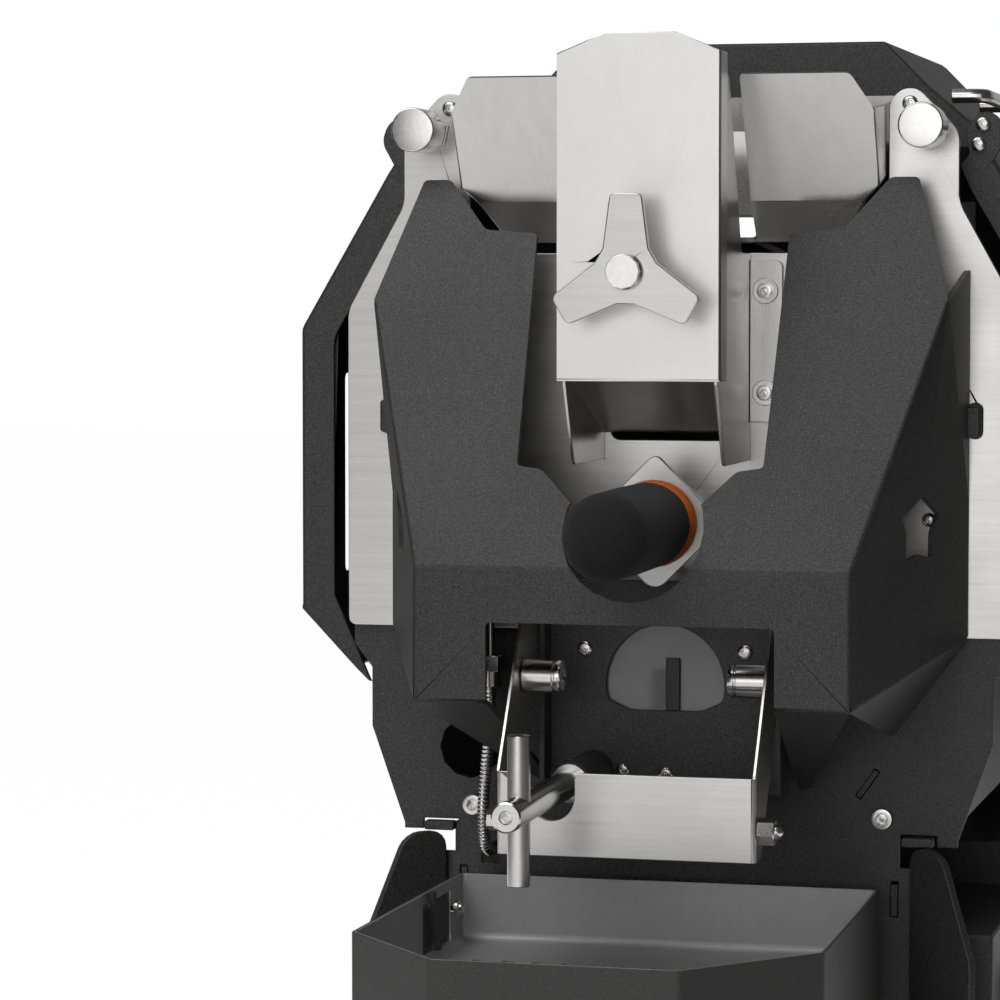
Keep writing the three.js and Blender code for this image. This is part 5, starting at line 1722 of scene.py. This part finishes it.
@dataclass(frozen=True)
class Lamp:
    """One soft box: its place, its aim and its size in metres, and its power in watts."""

    name: str
    place: Triple
    aim: Triple
    size: Pair
    power: float
    mirrored: bool = True

    def hang(self) -> None:
        """Makes the lamp and turns it to its aim."""
        data = bpy.data.lights.new(self.name, "AREA")
        data.shape = "RECTANGLE"
        data.size, data.size_y = self.size
        data.energy = self.power
        lamp = bpy.data.objects.new(self.name, data)
        lamp.visible_glossy = self.mirrored
        lamp.location = self.place
        ahead = Vector(self.aim) - Vector(self.place)
        lamp.rotation_euler = ahead.to_track_quat("-Z", "Y").to_euler()
        bpy.context.scene.collection.objects.link(lamp)


@dataclass
class Studio:
    """Pale floor, white surroundings, soft lamps and the camera. Lengths are in metres."""

    camera_place: Triple = (0.281, -1.343, 0.127)
    camera_yaw: float = 14.49
    camera_pitch: float = 3.29
    camera_reach: Pair = (0.05, 50.0)
    focal_pixels: float = 3768.0
    image_pixels: float = 1000.0
    sensor: float = 36.0
    lamps: tuple[Lamp, ...] = (
        Lamp("key_above", (-0.3, -1.0, 1.7), (0.0, 0.0, 0.3), (1.5, 1.2), 11.0),
        Lamp("left_box", (-0.45, -0.6, 0.95), (-0.06, 0.0, 0.3), (0.5, 0.5), 1.3),
        Lamp("front_box", (-0.4, -2.4, 0.7), (0.0, 0.0, 0.25), (1.6, 1.6), 8.5, False),
    )
    ambient: float = 0.06
    rear_card: Triple = (-0.25, 0.97, 0.0)
    rear_range: Pair = (0.6, 0.95)
    rear_power: float = 0.35
    front_card: Triple = (0.05, -0.998, 0.04)
    front_range: Pair = (0.9, 0.98)
    front_power: float = 1.9
    floor_reach: float = 6.0
    floor_drop: float = -0.0004
    floor_grain: float = 60.0
    floor_tones: tuple[Colour, Colour] = ((0.42, 0.42, 0.42), (0.46, 0.46, 0.46))
    floor_roughness: float = 0.8
    glow: float = 1.14
    glow_share: float = 0.86
    glow_offset: float = 0.1
    glow_range: Pair = (0.75, 0.3)

    def build(self, shop: Workshop) -> None:
        """Makes camera, lamps, world and floor.

        Args:
            shop: knows how far the head's datum is from the frame's origin.
        """
        self.camera(shop)
        for lamp in self.lamps:
            lamp.hang()
        self.world()
        self.floor()

    def camera(self, shop: Workshop) -> None:
        """Stands the camera where the photograph was taken from.

        Args:
            shop: knows how far the head's datum is from the frame's origin.
        """
        scene = bpy.context.scene
        scene.view_settings.view_transform = "Standard"
        data = bpy.data.cameras.new("camera")
        data.sensor_width = self.sensor
        data.lens = self.focal_pixels / self.image_pixels * self.sensor
        data.clip_start, data.clip_end = self.camera_reach
        camera = bpy.data.objects.new("camera", data)
        x, y, z = self.camera_place
        camera.location = (x, y + shop.shift, z + shop.lift)
        camera.rotation_euler = (math.radians(90.0 - self.camera_pitch), 0.0,
                                 math.radians(self.camera_yaw))
        scene.collection.objects.link(camera)
        scene.camera = camera

    @staticmethod
    def looked(sheet: NodeSheet, rays: Node) -> Socket:
        """Returns 1 for what the camera sees, also through glass, and 0 otherwise."""
        return sheet.math("ADD", rays.outputs["Is Camera Ray"],
                          rays.outputs["Is Transmission Ray"], clamp=True)

    @staticmethod
    def card(sheet: NodeSheet, ahead: Socket, aim: Triple, limits: Pair,
             power: float) -> Socket:
        """Bright disc far away, with a soft border.

        Args:
            sheet: the world's nodes.
            ahead: the direction looked at.
            aim: the direction of its middle.
            limits: cosines of the angles where it begins and where it is full.
            power: its strength in the middle.

        Returns:
            Its strength in the direction looked at.
        """
        cosine = sheet.add("VectorMath", {"operation": "DOT_PRODUCT"})
        sheet.put(cosine, 0, ahead)
        sheet.put(cosine, 1, aim)
        low, high = limits
        disc = sheet.add("MapRange", {"interpolation_type": "SMOOTHSTEP"},
                         Value=cosine.outputs["Value"], From_Min=low, From_Max=high)
        return sheet.math("MULTIPLY", disc.outputs[0], power)

    def world(self) -> None:
        """White where the camera looks, a plain dim room for light, two cards for gloss."""
        world = bpy.data.worlds.new("room")
        bpy.context.scene.world = world
        world.use_nodes = True
        sheet = NodeSheet(world.node_tree)
        rays = sheet.add("LightPath")
        ahead = sheet.add("TexCoord").outputs["Generated"]
        rear = self.card(sheet, ahead, self.rear_card, self.rear_range, self.rear_power)
        front = self.card(sheet, ahead, self.front_card, self.front_range, self.front_power)
        gloss = sheet.math("MULTIPLY", rays.outputs["Is Glossy Ray"],
                           sheet.math("ADD", rear, front))
        strength = sheet.math("MAXIMUM", self.looked(sheet, rays),
                              sheet.math("ADD", gloss, self.ambient))
        shade = sheet.add("Background", Color=(1.0, 1.0, 1.0, 1.0), Strength=strength)
        target = sheet.add("OutputWorld")
        sheet.put(target, "Surface", shade.outputs[0])

    def floor(self) -> None:
        """A wide pale floor that reads white to the camera and keeps a soft shadow."""
        mesh = bpy.data.meshes.new("floor")
        reach = self.floor_reach
        corners = [(-reach, -reach, 0.0), (reach, -reach, 0.0), (reach, reach, 0.0),
                   (-reach, reach, 0.0)]
        mesh.from_pydata(corners, [], [(0, 1, 2, 3)])
        floor = bpy.data.objects.new("floor", mesh)
        floor.location.z = self.floor_drop
        bpy.context.scene.collection.objects.link(floor)
        material = bpy.data.materials.new("pale_floor")
        material.use_nodes = True
        self.dress_floor(NodeSheet(material.node_tree))
        mesh.materials.append(material)

    def dress_floor(self, sheet: NodeSheet) -> None:
        """Mixes a matt tone with a glow that the camera sees, and that gloss sees near the middle.

        Args:
            sheet: the floor material's nodes.
        """
        rays = sheet.add("LightPath")
        place = sheet.add("TexCoord").outputs["Object"]
        grain = sheet.add("TexNoise", Vector=place, Scale=self.floor_grain, Detail=3.0)
        tone = sheet.blend(grain.outputs[0], *self.floor_tones)
        matt = sheet.add("BsdfPrincipled", Base_Color=tone, Roughness=self.floor_roughness)
        glow = sheet.add("Emission", Color=(1.0, 1.0, 1.0, 1.0), Strength=self.glow)
        across = sheet.add("SeparateXYZ", Vector=place).outputs[0]
        offside = sheet.math("ABSOLUTE", sheet.math("ADD", across, self.glow_offset))
        far, near = self.glow_range
        middle = sheet.add("MapRange", {"interpolation_type": "SMOOTHSTEP"}, Value=offside,
                           From_Min=far, From_Max=near)
        mirrored = sheet.math("MULTIPLY", rays.outputs["Is Glossy Ray"], middle.outputs[0])
        seen = sheet.math("ADD", self.looked(sheet, rays), mirrored, clamp=True)
        mixed = sheet.add("MixShader", Fac=sheet.math("MULTIPLY", seen, self.glow_share))
        sheet.put(mixed, 1, matt.outputs[0])
        sheet.put(mixed, 2, glow.outputs[0])
        target = sheet.add("OutputMaterial")
        sheet.put(target, "Surface", mixed.outputs[0])


def main() -> None:
    """Loads the frame, sets up the studio and builds each sub-assembly in order."""
    logging.basicConfig(level=logging.INFO, format="%(name)s %(message)s")
    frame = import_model()
    shop = Workshop(frame)
    Studio().build(shop)
    for part in (FrontFrame, FrontGuard, BeanInlet, Trier, DischargeGate, LatchHandle, Probe,
                 DrumDrive, OuterShells, BaseUnit, CoolingTray):
        LOG.info("building %s", part.__name__)
        part(shop).build()


if __name__ == "__main__":
    main()
